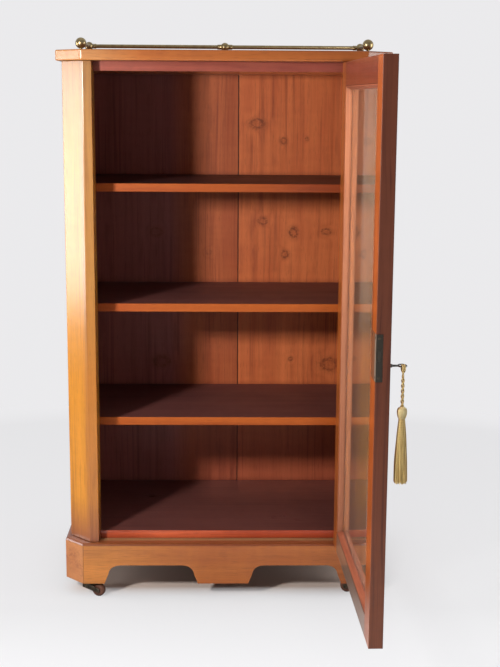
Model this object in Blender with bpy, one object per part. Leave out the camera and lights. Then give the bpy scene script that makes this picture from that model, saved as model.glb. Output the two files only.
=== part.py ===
"""Pier cabinet of polished birch with one glazed door, a brass gallery and castors.

Metres, +Z up, the door's side of the cabinet facing -Y. Each piece is an object of its own.
Places are given in the cabinet's frame, whose Y is 0 at the front of the corner posts and whose Z is 0
at the floor, and in the door's frame, whose origin is the hinge pins' axis with the door shut.
"""

import math

import bmesh
import bpy
from mathutils import Matrix, Vector

# Clearances
GAP = 0.0003
OVERRUN = 0.004
EASE = 0.001

# Carcase
OPENING_WIDTH = 0.492
FRONT_STRIP = 0.017
CORNER_CANT = 0.043
POST_HEEL = 0.005
CARCASE_DEPTH = 0.372
SIDE_THICKNESS = 0.016
BACK_THICKNESS = 0.010
BACK_JOINT_X = 0.030
BOTTOM_THICKNESS = 0.0152
SUBTOP_THICKNESS = 0.018

# Shelves and the clear heights between them, from the bottom up
SHELF_THICKNESS = 0.016
SHELF_BEHIND_POST = 0.016
HOUSING_DEPTH = 0.005
LOWER_BAY = 0.2075
SECOND_BAY = 0.214
THIRD_BAY = 0.219
TOP_BAY = 0.2117

# Top board
TOP_THICKNESS = 0.020
TOP_OVERHANG = 0.0115
TOP_CANT = 0.052
TOP_EASE = 0.0025

# Plinth
PLINTH_HEIGHT = 0.083
PLINTH_PROJECTION = 0.0095
PLINTH_CANT = 0.038
PLINTH_THICKNESS = 0.020
PLINTH_ROUND = 0.0045
FRONT_RAIL_WIDTH = 0.040
FRONT_RAIL_THICKNESS = 0.018
CORNER_BLOCK = 0.045
ARCH_HEIGHT = 0.038
ARCH_FOOT_WIDTH = 0.080
MIDDLE_FOOT_WIDTH = 0.100
SIDE_FOOT_WIDTH = 0.075
ARCH_SLANT_RUN = 0.008
ARCH_ROUND_RUN = 0.023
ARCH_ROUND_RISE = 0.018
ARCH_STEPS = 6

# Castors
WHEEL_RADIUS = 0.0128
WHEEL_WIDTH = 0.012
WHEEL_SIDES = 32
WHEEL_CROWN = 0.0025
AXLE_RADIUS = 0.002
CASTOR_PLATE_RADIUS = 0.016
CASTOR_PLATE_THICKNESS = 0.0022
CASTOR_HEADROOM = 0.0020
CASTOR_TRAIL = 0.025
HORN_THICKNESS = 0.002
HORN_CLEARANCE = 0.0006
HORN_STEM_RADIUS = 0.007
HORN_EYE_RADIUS = 0.0045
CASTOR_INSET = 0.044
CASTOR_FRONT_INSET = 0.022
CASTOR_BACK_INSET = 0.042
CASTOR_TRAIL_ANGLES = {
    "front_left": math.radians(-20),
    "front_right": math.radians(150),
    "back_left": math.radians(35),
    "back_right": math.radians(115),
}

# Gallery
RAIL_RISE = 0.0188
RAIL_RADIUS = 0.004
RAIL_STUB_RADIUS = 0.003
RAIL_STUB_REACH = 0.005
RAIL_COLLAR_RADIUS = 0.0052
RAIL_COLLAR_LENGTH = 0.007
BALL_RADIUS = 0.009
FINIAL_RADIUS = 0.011
POST_FOOT_RADIUS = 0.007
POST_FOOT_HEIGHT = 0.0022
POST_NECK_RADIUS = 0.003
GALLERY_SIDE_INSET = 0.0305
GALLERY_BACK_INSET = 0.018
GALLERY_SIDE_LENGTH = 0.154
TURNED_SIDES = 24
BALL_STEPS = 8

# Door
DOOR_GAP = 0.0015
DOOR_THICKNESS = 0.0235
DOOR_REST_ANGLE = math.radians(91.8)
PIN_PROUD = 0.004
STOP_CLEARANCE = 0.0015
STILE_WIDTH = 0.049
TOP_RAIL_WIDTH = 0.042
BOTTOM_RAIL_WIDTH = 0.037
REBATE_WIDTH = 0.007
LIP_THICKNESS = 0.008
GLASS_THICKNESS = 0.003
BEAD_SETBACK = 0.001
BEAD_NOSE = 0.003
BEAD_TOP_WIDTH = 0.0022

# Hinges
HINGE_LENGTH = 0.063
HINGE_FROM_END = 0.105
LEAF_THICKNESS = 0.0014
LEAF_WIDTH = 0.026
KNUCKLE_RADIUS = 0.0032
HINGE_PIN_RADIUS = 0.0013
HINGE_PIN_HEAD = 0.001
KNUCKLE_COUNT = 5

# Lock and key
LOCK_RISE = 0.4765
LOCK_HEIGHT = 0.0745
LOCK_LENGTH = 0.044
LOCK_DEPTH = 0.011
LOCK_PLATE = 0.0015
LOCK_BOX_LENGTH = 0.036
LOCK_BOX_HEIGHT = 0.052
LOCK_WARD_RADIUS = 0.007
BOLT_RISE = 0.004
BOLT_HEIGHT = 0.018
BOLT_THICKNESS = 0.005
BOLT_LENGTH = 0.024
BOLT_THROW = 0.007
MORTISE_CLEARANCE = 0.001
KEY_BACKSET = 0.022
KEY_DROP = 0.016
KEY_REACH = 0.0294
KEY_SHANK_RADIUS = 0.0019
KEY_COLLAR_RADIUS = 0.0032
KEY_COLLAR_LENGTH = 0.003
KEY_COLLAR_STANDOFF = 0.003
BOW_HALF_LENGTH = 0.00625
BOW_HALF_WIDTH = 0.0095
BOW_WIRE_RADIUS = 0.0015
KEY_BIT_LENGTH = 0.0045
KEY_BIT_REACH = 0.006
KEY_BIT_THICKNESS = 0.0022
KEYHOLE_CLEARANCE = 0.0006

# Tassel
CORD_DIAMETER = 0.0024
HEAD_DROP = 0.064
HEAD_HEIGHT = 0.0185
HEAD_RADIUS = 0.0082
HEAD_TOP_RADIUS = 0.0034
NECK_BINDING_RADIUS = 0.0052
SKIRT_LENGTH = 0.105
SKIRT_TOP_RADIUS = 0.0056
SKIRT_BOTTOM_RADIUS = 0.0106
# The doubled cord, from the head, over the bow's rim and back, about the rim's middle
CORD_ROUTE = (
    (0.0017, 0, -0.0637),
    (0.0017, 0, -0.0590),
    (0, 0.0017, -0.0525),
    (-0.0017, 0, -0.0455),
    (0, -0.0017, -0.0385),
    (0.0017, 0, -0.0315),
    (0, 0.0017, -0.0245),
    (-0.0020, 0.0006, -0.0170),
    (-0.0043, 0, -0.0085),
    (-0.0050, 0, -0.0022),
    (-0.0035, 0, 0.0016),
    (0, 0, 0.0031),
    (0.0035, 0, 0.0016),
    (0.0050, 0, -0.0022),
    (0.0043, 0, -0.0085),
    (0.0020, -0.0006, -0.0170),
    (0, -0.0017, -0.0245),
    (-0.0017, 0, -0.0315),
    (0, 0.0017, -0.0385),
    (0.0017, 0, -0.0455),
    (0, -0.0017, -0.0525),
    (-0.0017, 0, -0.0590),
    (-0.0017, 0, -0.0637),
)
CORD_STEPS_PER_SPAN = 2

# Places worked out from the sizes, in the cabinet's frame
HALF_OPENING = OPENING_WIDTH / 2
HALF_CARCASE = HALF_OPENING + FRONT_STRIP + CORNER_CANT
HALF_TOP = HALF_CARCASE + TOP_OVERHANG
HALF_PLINTH = HALF_CARCASE + PLINTH_PROJECTION
HALF_INSIDE = HALF_CARCASE - SIDE_THICKNESS
POST_DEPTH = CORNER_CANT + POST_HEEL
STOP_Y = DOOR_THICKNESS + STOP_CLEARANCE
SHELF_FRONT_Y = POST_DEPTH + SHELF_BEHIND_POST
BACK_BOARD_Y = CARCASE_DEPTH - BACK_THICKNESS
WHEEL_FLAT_RADIUS = WHEEL_RADIUS * math.cos(math.pi / WHEEL_SIDES)
PLINTH_BASE_Z = 2 * WHEEL_FLAT_RADIUS + CASTOR_HEADROOM + CASTOR_PLATE_THICKNESS + GAP
LEDGE_Z = PLINTH_BASE_Z + PLINTH_HEIGHT
BOTTOM_TOP_Z = LEDGE_Z + GAP + BOTTOM_THICKNESS
LOWER_SHELF_Z = BOTTOM_TOP_Z + LOWER_BAY
MIDDLE_SHELF_Z = LOWER_SHELF_Z + SHELF_THICKNESS + SECOND_BAY
UPPER_SHELF_Z = MIDDLE_SHELF_Z + SHELF_THICKNESS + THIRD_BAY
SUBTOP_Z = UPPER_SHELF_Z + SHELF_THICKNESS + TOP_BAY
TOP_UNDER_Z = SUBTOP_Z + SUBTOP_THICKNESS + GAP
TOP_Z = TOP_UNDER_Z + TOP_THICKNESS

# Places in the door's frame
DOOR_FREE_X = DOOR_GAP - OPENING_WIDTH
DOOR_INNER_Y = PIN_PROUD + DOOR_THICKNESS
DOOR_LOW_Z = LEDGE_Z + DOOR_GAP
DOOR_HIGH_Z = TOP_UNDER_Z - DOOR_GAP
LOCK_Z = LEDGE_Z + LOCK_RISE
KEY_X = DOOR_FREE_X + KEY_BACKSET
KEY_Z = LOCK_Z - KEY_DROP
BOW_Y = PIN_PROUD - KEY_REACH + BOW_HALF_LENGTH + BOW_WIRE_RADIUS
BOLT_Z = LOCK_Z + BOLT_RISE
BOLT_Y = DOOR_INNER_Y - LOCK_DEPTH / 2

# The world's Y of the cabinet's frame puts the origin at the middle of the open cabinet
DOOR_REACH = PIN_PROUD - DOOR_FREE_X * math.sin(DOOR_REST_ANGLE) - DOOR_INNER_Y * math.cos(DOOR_REST_ANGLE)
DATUM_Y = (DOOR_REACH - CARCASE_DEPTH) / 2

# Colour, roughness and metallic value of each finish
FINISHES = {
    "birch": ((0.62, 0.30, 0.11), 0.28, 0.0),
    "stained_edge": ((0.42, 0.13, 0.06), 0.45, 0.0),
    "pine": ((0.38, 0.17, 0.08), 0.60, 0.0),
    "brass": ((0.55, 0.38, 0.16), 0.30, 1.0),
    "bronze": ((0.16, 0.13, 0.09), 0.42, 1.0),
    "steel": ((0.30, 0.28, 0.26), 0.38, 1.0),
    "glass": ((0.85, 0.88, 0.86), 0.03, 0.0),
    "castor_wheel": ((0.20, 0.09, 0.05), 0.40, 0.0),
    "gold_yarn": ((0.62, 0.52, 0.28), 0.75, 0.0),
}


def clear_scene():
    """Remove what the file opened with."""
    for item in list(bpy.data.objects):
        bpy.data.objects.remove(item)


def finish_material(finish):
    """Return the material of one finish, made once."""
    known = bpy.data.materials.get(finish)
    if known:
        return known
    colour, roughness, metallic = FINISHES[finish]
    material = bpy.data.materials.new(finish)
    material.use_nodes = True
    shader = material.node_tree.nodes["Principled BSDF"]
    shader.inputs["Base Color"].default_value = (*colour, 1)
    shader.inputs["Roughness"].default_value = roughness
    shader.inputs["Metallic"].default_value = metallic
    return material


def place(name, mesh, finish, parent, smooth=False):
    """Make a named object of a mesh, with its finish, under its parent."""
    piece = bpy.data.objects.new(name, mesh)
    bpy.context.collection.objects.link(piece)
    piece.parent = parent
    mesh.materials.clear()
    mesh.materials.append(finish_material(finish))
    if smooth:
        mesh.shade_smooth()
        mesh.set_sharp_from_angle(angle=math.radians(35))
    return piece


def empty(name, parent, location, turn=0):
    """Make an empty that carries the pieces of one body."""
    carrier = bpy.data.objects.new(name, None)
    bpy.context.collection.objects.link(carrier)
    carrier.parent = parent
    carrier.location = location
    carrier.rotation_euler = (0, 0, turn)
    return carrier


def mesh_from(bm):
    """Close a bmesh with its faces pointing out and return its mesh."""
    bmesh.ops.recalc_face_normals(bm, faces=bm.faces)
    mesh = bpy.data.meshes.new("shape")
    bm.to_mesh(mesh)
    bm.free()
    return mesh


def ease_edges(bm, width, chosen):
    """Round the chosen edges of a bmesh."""
    edges = [edge for edge in bm.edges if chosen(edge)]
    if width > 0 and edges:
        bmesh.ops.bevel(bm, geom=edges, offset=width, segments=2, profile=0.5, affect="EDGES")


def every_edge(edge):
    """Choose each edge."""
    return True


def edges_on(axis, value):
    """Choose the edges that lie on one plane square to an axis."""
    def chosen(edge):
        return all(abs(vertex.co[axis] - value) < GAP / 2 for vertex in edge.verts)
    return chosen


def prism(outline, low, high, along="Z", ease=0, chosen=every_edge):
    """Extrude an outline from low to high along an axis.

    The outline is given in (X, Y) for Z, in (X, Z) for Y and in (Y, Z) for X.
    """
    maps = {
        "Z": lambda point, level: (point[0], point[1], level),
        "Y": lambda point, level: (point[0], level, point[1]),
        "X": lambda point, level: (level, point[0], point[1]),
    }
    bm = bmesh.new()
    verts = [bm.verts.new(maps[along](point, low)) for point in outline]
    face = bm.faces.new(verts)
    raised = bmesh.ops.extrude_face_region(bm, geom=[face])["geom"]
    lift = Vector(maps[along]((0, 0), high - low))
    bmesh.ops.translate(bm, vec=lift, verts=[item for item in raised if isinstance(item, bmesh.types.BMVert)])
    bmesh.ops.recalc_face_normals(bm, faces=bm.faces)
    ease_edges(bm, ease, chosen)
    return mesh_from(bm)


def block(low, high, ease=0, chosen=every_edge):
    """Make a block between two corners."""
    outline = ((low[0], low[1]), (high[0], low[1]), (high[0], high[1]), (low[0], high[1]))
    return prism(outline, low[2], high[2], ease=ease, chosen=chosen)


def turned(profile, sides=TURNED_SIDES, start_angle=0):
    """Turn a profile of (radius, height) points round Z. It starts and ends on the axis."""
    bm = bmesh.new()
    matrix = Matrix.Rotation(start_angle, 3, "Z")
    verts = [bm.verts.new(matrix @ Vector((radius, 0, height))) for radius, height in profile]
    edges = [bm.edges.new(pair) for pair in zip(verts, verts[1:])]
    bmesh.ops.spin(bm, geom=verts + edges, cent=(0, 0, 0), axis=(0, 0, 1), angle=2 * math.pi, steps=sides,
                   use_merge=True)
    bmesh.ops.remove_doubles(bm, verts=bm.verts, dist=GAP / 100)
    return mesh_from(bm)


def oval_ring(half_x, half_y, wire_radius, sides, wire_sides):
    """Make a ring of round wire along an oval round Z."""
    bm = bmesh.new()
    loops = []
    for step in range(sides):
        angle = 2 * math.pi * step / sides
        middle = Vector((half_x * math.cos(angle), half_y * math.sin(angle), 0))
        outward = Vector((half_y * math.cos(angle), half_x * math.sin(angle), 0)).normalized()
        loop = []
        for turn in range(wire_sides):
            about = 2 * math.pi * turn / wire_sides
            offset = outward * math.cos(about) + Vector((0, 0, math.sin(about)))
            loop.append(bm.verts.new(middle + offset * wire_radius))
        loops.append(loop)
    for index, loop in enumerate(loops):
        previous = loops[index - 1]
        for turn in range(wire_sides):
            bm.faces.new((previous[turn - 1], previous[turn], loop[turn], loop[turn - 1]))
    return mesh_from(bm)


def rod(radius, low, high, sides=TURNED_SIDES):
    """Make a plain round rod along Z."""
    return turned(((0, low), (radius, low), (radius, high), (0, high)), sides)


def moved(mesh, location=(0, 0, 0), axis_from_z=None, turn=None):
    """Turn a mesh's Z to another axis, or by a rotation matrix, then move it."""
    if axis_from_z is not None:
        mesh.transform(Vector((0, 0, 1)).rotation_difference(Vector(axis_from_z)).to_matrix().to_4x4())
    if turn is not None:
        mesh.transform(turn)
    mesh.transform(Matrix.Translation(location))
    return mesh


def combined(mesh, others, operation):
    """Join other meshes to a mesh, or cut them out of it, and return the result."""
    base = bpy.data.objects.new("base", mesh)
    bpy.context.collection.objects.link(base)
    helpers = []
    for other in others:
        helper = bpy.data.objects.new("helper", other)
        bpy.context.collection.objects.link(helper)
        helpers.append(helper)
        step = base.modifiers.new("step", "BOOLEAN")
        step.operation = operation
        step.object = helper
        step.solver = "EXACT"
    bpy.context.view_layer.update()
    evaluated = base.evaluated_get(bpy.context.evaluated_depsgraph_get())
    result = bpy.data.meshes.new_from_object(evaluated)
    for item in (base, *helpers):
        bpy.data.objects.remove(item)
    return result


def cut(mesh, *cutters):
    """Cut shapes out of a mesh."""
    return combined(mesh, cutters, "DIFFERENCE")


def join(mesh, *others):
    """Join shapes to a mesh."""
    return combined(mesh, others, "UNION")


def mirrored(outline, side):
    """Return an outline given for the left side, or its mirror image for the right."""
    if side == "left":
        return list(outline)
    return [(-point[0], *point[1:]) for point in reversed(outline)]


def side_sign(side):
    """Return -1 on the left and 1 on the right."""
    return -1 if side == "left" else 1


def crossing(first, second):
    """Return where two lines cross, each given by a point and a direction."""
    (start, along), (other, across) = first, second
    reach = (other - start).cross(across) / along.cross(across)
    return start + along * reach


def drawn_in(outline, insets):
    """Move each side of an anticlockwise outline inwards by its own inset."""
    lines = []
    for index, inset in enumerate(insets):
        start = Vector(outline[index])
        along = (Vector(outline[(index + 1) % len(outline)]) - start).normalized()
        inward = Vector((-along.y, along.x))
        lines.append((start + inward * inset, along))
    return [tuple(crossing(lines[index - 1], lines[index])) for index in range(len(lines))]


def build_top_board(cabinet):
    """Top board with cut front corners."""
    front = -TOP_OVERHANG
    outline = (
        (-HALF_TOP, front + TOP_CANT),
        (-HALF_TOP + TOP_CANT, front),
        (HALF_TOP - TOP_CANT, front),
        (HALF_TOP, front + TOP_CANT),
        (HALF_TOP, CARCASE_DEPTH),
        (-HALF_TOP, CARCASE_DEPTH),
    )
    place("top_board", prism(outline, TOP_UNDER_Z, TOP_Z, ease=TOP_EASE), "birch", cabinet)


def build_stop_boards(cabinet):
    """Carcase top and bottom, notched round the posts. Their front edges stop the door."""
    inside = HALF_INSIDE - GAP
    between = HALF_OPENING - GAP
    notch = POST_DEPTH + GAP
    back = BACK_BOARD_Y - GAP
    outline = (
        (-between, STOP_Y), (between, STOP_Y), (between, notch), (inside, notch),
        (inside, back), (-inside, back), (-inside, notch), (-between, notch),
    )
    place("carcase_top", prism(outline, SUBTOP_Z, SUBTOP_Z + SUBTOP_THICKNESS), "stained_edge", cabinet)
    place("carcase_bottom", prism(outline, LEDGE_Z + GAP, BOTTOM_TOP_Z), "stained_edge", cabinet)


def build_shelves(cabinet):
    """Three shelves, whose ends sit in the sides' grooves."""
    reach = HALF_INSIDE + HOUSING_DEPTH - GAP
    levels = {"shelf_lower": LOWER_SHELF_Z, "shelf_middle": MIDDLE_SHELF_Z, "shelf_upper": UPPER_SHELF_Z}
    for name, level in levels.items():
        low = (-reach, SHELF_FRONT_Y, level)
        high = (reach, BACK_BOARD_Y - GAP, level + SHELF_THICKNESS)
        place(name, block(low, high, ease=EASE, chosen=edges_on(1, SHELF_FRONT_Y)), "birch", cabinet)


def build_sides(cabinet):
    """Side panels, grooved for the shelves."""
    for side in ("left", "right"):
        sign = side_sign(side)
        faces = sorted((sign * HALF_INSIDE, sign * HALF_CARCASE))
        low = (faces[0], POST_DEPTH + GAP, LEDGE_Z + GAP)
        panel = block(low, (faces[1], CARCASE_DEPTH, TOP_UNDER_Z - GAP))
        grooves = []
        for level in (LOWER_SHELF_Z, MIDDLE_SHELF_Z, UPPER_SHELF_Z):
            across = sorted((sign * (HALF_INSIDE - OVERRUN), sign * (HALF_INSIDE + HOUSING_DEPTH)))
            low = (across[0], SHELF_FRONT_Y - GAP, level - GAP)
            high = (across[1], BACK_BOARD_Y, level + SHELF_THICKNESS + GAP)
            grooves.append(block(low, high))
        place("side_" + side, cut(panel, *grooves), "birch", cabinet)


def build_posts(cabinet):
    """Canted corner posts. The left one has the bolt's mortise, the right one the hinges' recesses."""
    outline = (
        (-HALF_CARCASE, CORNER_CANT),
        (-HALF_CARCASE + CORNER_CANT, 0),
        (-HALF_OPENING, 0),
        (-HALF_OPENING, POST_DEPTH),
        (-HALF_CARCASE, POST_DEPTH),
    )
    low = LEDGE_Z + GAP
    high = TOP_UNDER_Z - GAP
    bolt_y = BOLT_Y - PIN_PROUD
    half_high = BOLT_HEIGHT / 2 + MORTISE_CLEARANCE
    half_deep = BOLT_THICKNESS / 2 + MORTISE_CLEARANCE
    sunk = BOLT_THROW - DOOR_GAP + MORTISE_CLEARANCE
    mortise = block(
        (-HALF_OPENING - sunk, bolt_y - half_deep, BOLT_Z - half_high),
        (-HALF_OPENING + OVERRUN, bolt_y + half_deep, BOLT_Z + half_high),
    )
    left = prism(mirrored(outline, "left"), low, high, ease=EASE)
    place("corner_post_left", cut(left, mortise), "birch", cabinet)
    recesses = []
    for middle in hinge_levels():
        recesses.append(block(
            (HALF_OPENING - OVERRUN, -OVERRUN, middle - HINGE_LENGTH / 2 - GAP),
            (
                HALF_OPENING + LEAF_THICKNESS + GAP,
                LEAF_WIDTH - PIN_PROUD + GAP,
                middle + HINGE_LENGTH / 2 + GAP,
            ),
        ))
    right = prism(mirrored(outline, "right"), low, high, ease=EASE)
    place("corner_post_right", cut(right, *recesses), "birch", cabinet)


def build_back_boards(cabinet):
    """Two upright back boards that meet right of the middle."""
    inside = HALF_INSIDE - GAP
    spans = {"left": (-inside, BACK_JOINT_X - GAP / 2), "right": (BACK_JOINT_X + GAP / 2, inside)}
    for side, (start, end) in spans.items():
        low = (start, BACK_BOARD_Y, LEDGE_Z + GAP)
        high = (end, CARCASE_DEPTH, TOP_UNDER_Z - GAP)
        place("back_board_" + side, block(low, high), "pine", cabinet)


def arch_outline(start, end):
    """Return the (across, height) outline of an arch whose mouth runs from start to end."""
    crown = PLINTH_BASE_Z + ARCH_HEIGHT
    spring = crown - ARCH_ROUND_RISE
    curve = []
    for step in range(ARCH_STEPS + 1):
        angle = math.pi / 2 * step / ARCH_STEPS
        across = ARCH_SLANT_RUN + ARCH_ROUND_RUN * (1 - math.cos(angle))
        curve.append((across, spring + ARCH_ROUND_RISE * math.sin(angle)))
    below = PLINTH_BASE_Z - OVERRUN
    rising = [(start, below), (start, PLINTH_BASE_Z)] + [(start + across, level) for across, level in curve]
    falling = [(end, below), (end, PLINTH_BASE_Z)] + [(end - across, level) for across, level in curve]
    return rising + falling[::-1]


def plinth_round(edge_axis, value):
    """Choose the top edge of a plinth board on its outer face."""
    on_face = edges_on(edge_axis, value)
    on_top = edges_on(2, LEDGE_Z)
    return lambda edge: on_face(edge) and on_top(edge)


def build_plinth(cabinet):
    """Plinth: arched front, mitred cut corners, arched sides, back, front rail and corner blocks."""
    front = -PLINTH_PROJECTION
    mitre = PLINTH_THICKNESS * math.tan(math.pi / 8)
    outer_front = (-HALF_PLINTH + PLINTH_CANT, front)
    outer_side = (-HALF_PLINTH, front + PLINTH_CANT)
    inner_front = (outer_front[0] + mitre, front + PLINTH_THICKNESS)
    inner_side = (-HALF_PLINTH + PLINTH_THICKNESS, outer_side[1] + mitre)
    half_gap = GAP / 2

    front_outline = (outer_front, (-outer_front[0], front), (-inner_front[0], inner_front[1]), inner_front)
    front_outline = drawn_in(front_outline, (0, half_gap, 0, half_gap))
    board = prism(front_outline, PLINTH_BASE_Z, LEDGE_Z, ease=PLINTH_ROUND, chosen=plinth_round(1, front))
    outer_mouth = HALF_PLINTH - ARCH_FOOT_WIDTH
    inner_mouth = MIDDLE_FOOT_WIDTH / 2
    arches = []
    for start, end in ((-outer_mouth, -inner_mouth), (inner_mouth, outer_mouth)):
        arches.append(prism(arch_outline(start, end), front - OVERRUN, inner_front[1] + OVERRUN, along="Y"))
    place("plinth_front", cut(board, *arches), "birch", cabinet)

    for side in ("left", "right"):
        sign = side_sign(side)
        corner = drawn_in((outer_side, outer_front, inner_front, inner_side), (0, half_gap, 0, half_gap))
        top = edges_on(2, LEDGE_Z)
        line = outer_side[0] + outer_side[1]

        def on_cant(edge, top=top, line=line, sign=sign):
            return top(edge) and all(abs(-sign * vertex.co.x + vertex.co.y - line) < GAP / 2
                                     for vertex in edge.verts)

        piece = prism(mirrored(corner, side), PLINTH_BASE_Z, LEDGE_Z, ease=PLINTH_ROUND, chosen=on_cant)
        place("plinth_corner_" + side, piece, "birch", cabinet)

        flank = (outer_side, inner_side, (inner_side[0], CARCASE_DEPTH), (-HALF_PLINTH, CARCASE_DEPTH))
        flank = drawn_in(flank, (half_gap, 0, 0, 0))
        chosen = plinth_round(0, sign * HALF_PLINTH)
        panel = prism(mirrored(flank, side), PLINTH_BASE_Z, LEDGE_Z, ease=PLINTH_ROUND, chosen=chosen)
        mouth = arch_outline(front + SIDE_FOOT_WIDTH, CARCASE_DEPTH - SIDE_FOOT_WIDTH)
        across = sorted((sign * (HALF_PLINTH + OVERRUN), sign * (HALF_PLINTH - PLINTH_THICKNESS - OVERRUN)))
        place("plinth_side_" + side, cut(panel, prism(mouth, *across, along="X")), "birch", cabinet)

    inside = HALF_PLINTH - PLINTH_THICKNESS - GAP
    back_face = CARCASE_DEPTH - PLINTH_THICKNESS
    low = (-inside, back_face, PLINTH_BASE_Z)
    place("plinth_back", block(low, (inside, CARCASE_DEPTH, LEDGE_Z)), "pine", cabinet)

    block_inner = inside - CORNER_BLOCK
    rail_front = inner_front[1] + GAP
    rail_end = block_inner - GAP
    low = (-rail_end, rail_front, LEDGE_Z - FRONT_RAIL_THICKNESS)
    high = (rail_end, rail_front + FRONT_RAIL_WIDTH, LEDGE_Z)
    place("plinth_front_rail", block(low, high), "birch", cabinet)

    cant_gap = GAP * math.tan(math.pi / 8)
    for side in ("left", "right"):
        outline = (
            (-inside, inner_side[1] + cant_gap),
            (inner_front[0] + cant_gap, rail_front),
            (-block_inner, rail_front),
            (-block_inner, rail_front + CORNER_BLOCK),
            (-inside, rail_front + CORNER_BLOCK),
        )
        piece = prism(mirrored(outline, side), PLINTH_BASE_Z, LEDGE_Z)
        place("corner_block_front_" + side, piece, "pine", cabinet)
        across = sorted((side_sign(side) * block_inner, side_sign(side) * inside))
        low = (across[0], back_face - GAP - CORNER_BLOCK, PLINTH_BASE_Z)
        high = (across[1], back_face - GAP, LEDGE_Z)
        place("corner_block_back_" + side, block(low, high), "pine", cabinet)


def castor_horn():
    """Plate, stem and two arms. The swivel axis is Z, the wheel trails along +X."""
    top = PLINTH_BASE_Z - GAP
    plate_under = top - CASTOR_PLATE_THICKNESS
    arm_inner = WHEEL_WIDTH / 2 + HORN_CLEARANCE
    arm_outer = arm_inner + HORN_THICKNESS
    plate = rod(CASTOR_PLATE_RADIUS, plate_under, top)
    crown = block(
        (-HORN_STEM_RADIUS, -arm_outer, WHEEL_FLAT_RADIUS + HORN_EYE_RADIUS),
        (HORN_STEM_RADIUS, arm_outer, plate_under + CASTOR_PLATE_THICKNESS / 2),
    )
    eye = []
    for step in range(TURNED_SIDES // 2 + 1):
        angle = -math.pi * 3 / 4 + math.pi * step / (TURNED_SIDES // 2)
        eye.append((CASTOR_TRAIL + HORN_EYE_RADIUS * math.cos(angle),
                    WHEEL_FLAT_RADIUS + HORN_EYE_RADIUS * math.sin(angle)))
    shoulder = plate_under - HORN_THICKNESS
    outline = [(-HORN_STEM_RADIUS, WHEEL_FLAT_RADIUS + HORN_EYE_RADIUS), *eye,
               (HORN_STEM_RADIUS, shoulder), (-HORN_STEM_RADIUS, shoulder)]
    arms = [prism(outline, arm_inner, arm_outer, along="Y"), prism(outline, -arm_outer, -arm_inner, along="Y")]
    hole = moved(rod(AXLE_RADIUS + GAP, -arm_outer - OVERRUN, arm_outer + OVERRUN),
                 (CASTOR_TRAIL, 0, WHEEL_FLAT_RADIUS), axis_from_z=(0, 1, 0))
    wheel_room = moved(rod(WHEEL_RADIUS + HORN_CLEARANCE, -arm_inner, arm_inner, WHEEL_SIDES),
                       (CASTOR_TRAIL, 0, WHEEL_FLAT_RADIUS), axis_from_z=(0, 1, 0))
    return cut(join(plate, crown, *arms), hole, wheel_room)


def castor_wheel():
    """Wheel with its axle, turned about its own axis and standing on one of its flats."""
    half = WHEEL_WIDTH / 2
    end = half + HORN_CLEARANCE + HORN_THICKNESS
    profile = (
        (0, -end), (AXLE_RADIUS, -end), (AXLE_RADIUS, -half), (WHEEL_RADIUS - WHEEL_CROWN, -half),
        (WHEEL_RADIUS, -half + WHEEL_CROWN), (WHEEL_RADIUS, half - WHEEL_CROWN),
        (WHEEL_RADIUS - WHEEL_CROWN, half), (AXLE_RADIUS, half), (AXLE_RADIUS, end), (0, end),
    )
    wheel = turned(profile, WHEEL_SIDES, start_angle=math.pi / WHEEL_SIDES)
    return moved(wheel, axis_from_z=(0, 1, 0))


def build_castors(cabinet):
    """Four castors under the corner blocks, each a horn that swivels and a wheel that turns."""
    across = HALF_PLINTH - CASTOR_INSET
    depths = {"front": -PLINTH_PROJECTION + CASTOR_FRONT_INSET, "back": CARCASE_DEPTH - CASTOR_BACK_INSET}
    for end, depth in depths.items():
        for side in ("left", "right"):
            corner = end + "_" + side
            location = (side_sign(side) * across, depth, 0)
            swivel = empty("castor_swivel_" + corner, cabinet, location, CASTOR_TRAIL_ANGLES[corner])
            place("castor_horn_" + corner, castor_horn(), "bronze", swivel, smooth=True)
            wheel = place("castor_wheel_" + corner, castor_wheel(), "castor_wheel", swivel, smooth=True)
            wheel.location = (CASTOR_TRAIL, 0, WHEEL_FLAT_RADIUS)


def gallery_post(ball_radius):
    """Turned post with a ball at the rails' height. Z is 0 at its foot."""
    start = math.asin(POST_NECK_RADIUS / ball_radius)
    profile = [
        (0, 0), (POST_FOOT_RADIUS, 0), (POST_FOOT_RADIUS, POST_FOOT_HEIGHT / 2),
        (POST_NECK_RADIUS, POST_FOOT_HEIGHT),
    ]
    for step in range(BALL_STEPS + 1):
        angle = start + (math.pi - start) * step / BALL_STEPS
        radius = ball_radius * math.sin(angle) if step < BALL_STEPS else 0
        profile.append((radius, RAIL_RISE - ball_radius * math.cos(angle)))
    return turned(profile)


def gallery_rail(length, start_radius, end_radius):
    """Rail along Z between two balls' middles, with a collar and a stub at each end."""
    first = math.sqrt(start_radius ** 2 - RAIL_STUB_RADIUS ** 2) + GAP
    last = length - math.sqrt(end_radius ** 2 - RAIL_STUB_RADIUS ** 2) - GAP
    profile = (
        (0, start_radius - RAIL_STUB_REACH), (RAIL_STUB_RADIUS, start_radius - RAIL_STUB_REACH),
        (RAIL_STUB_RADIUS, first), (RAIL_COLLAR_RADIUS, first),
        (RAIL_COLLAR_RADIUS, first + RAIL_COLLAR_LENGTH), (RAIL_RADIUS, first + RAIL_COLLAR_LENGTH + GAP),
        (RAIL_RADIUS, last - RAIL_COLLAR_LENGTH - GAP), (RAIL_COLLAR_RADIUS, last - RAIL_COLLAR_LENGTH),
        (RAIL_COLLAR_RADIUS, last), (RAIL_STUB_RADIUS, last),
        (RAIL_STUB_RADIUS, length - end_radius + RAIL_STUB_REACH), (0, length - end_radius + RAIL_STUB_REACH),
    )
    return turned(profile)


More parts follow.
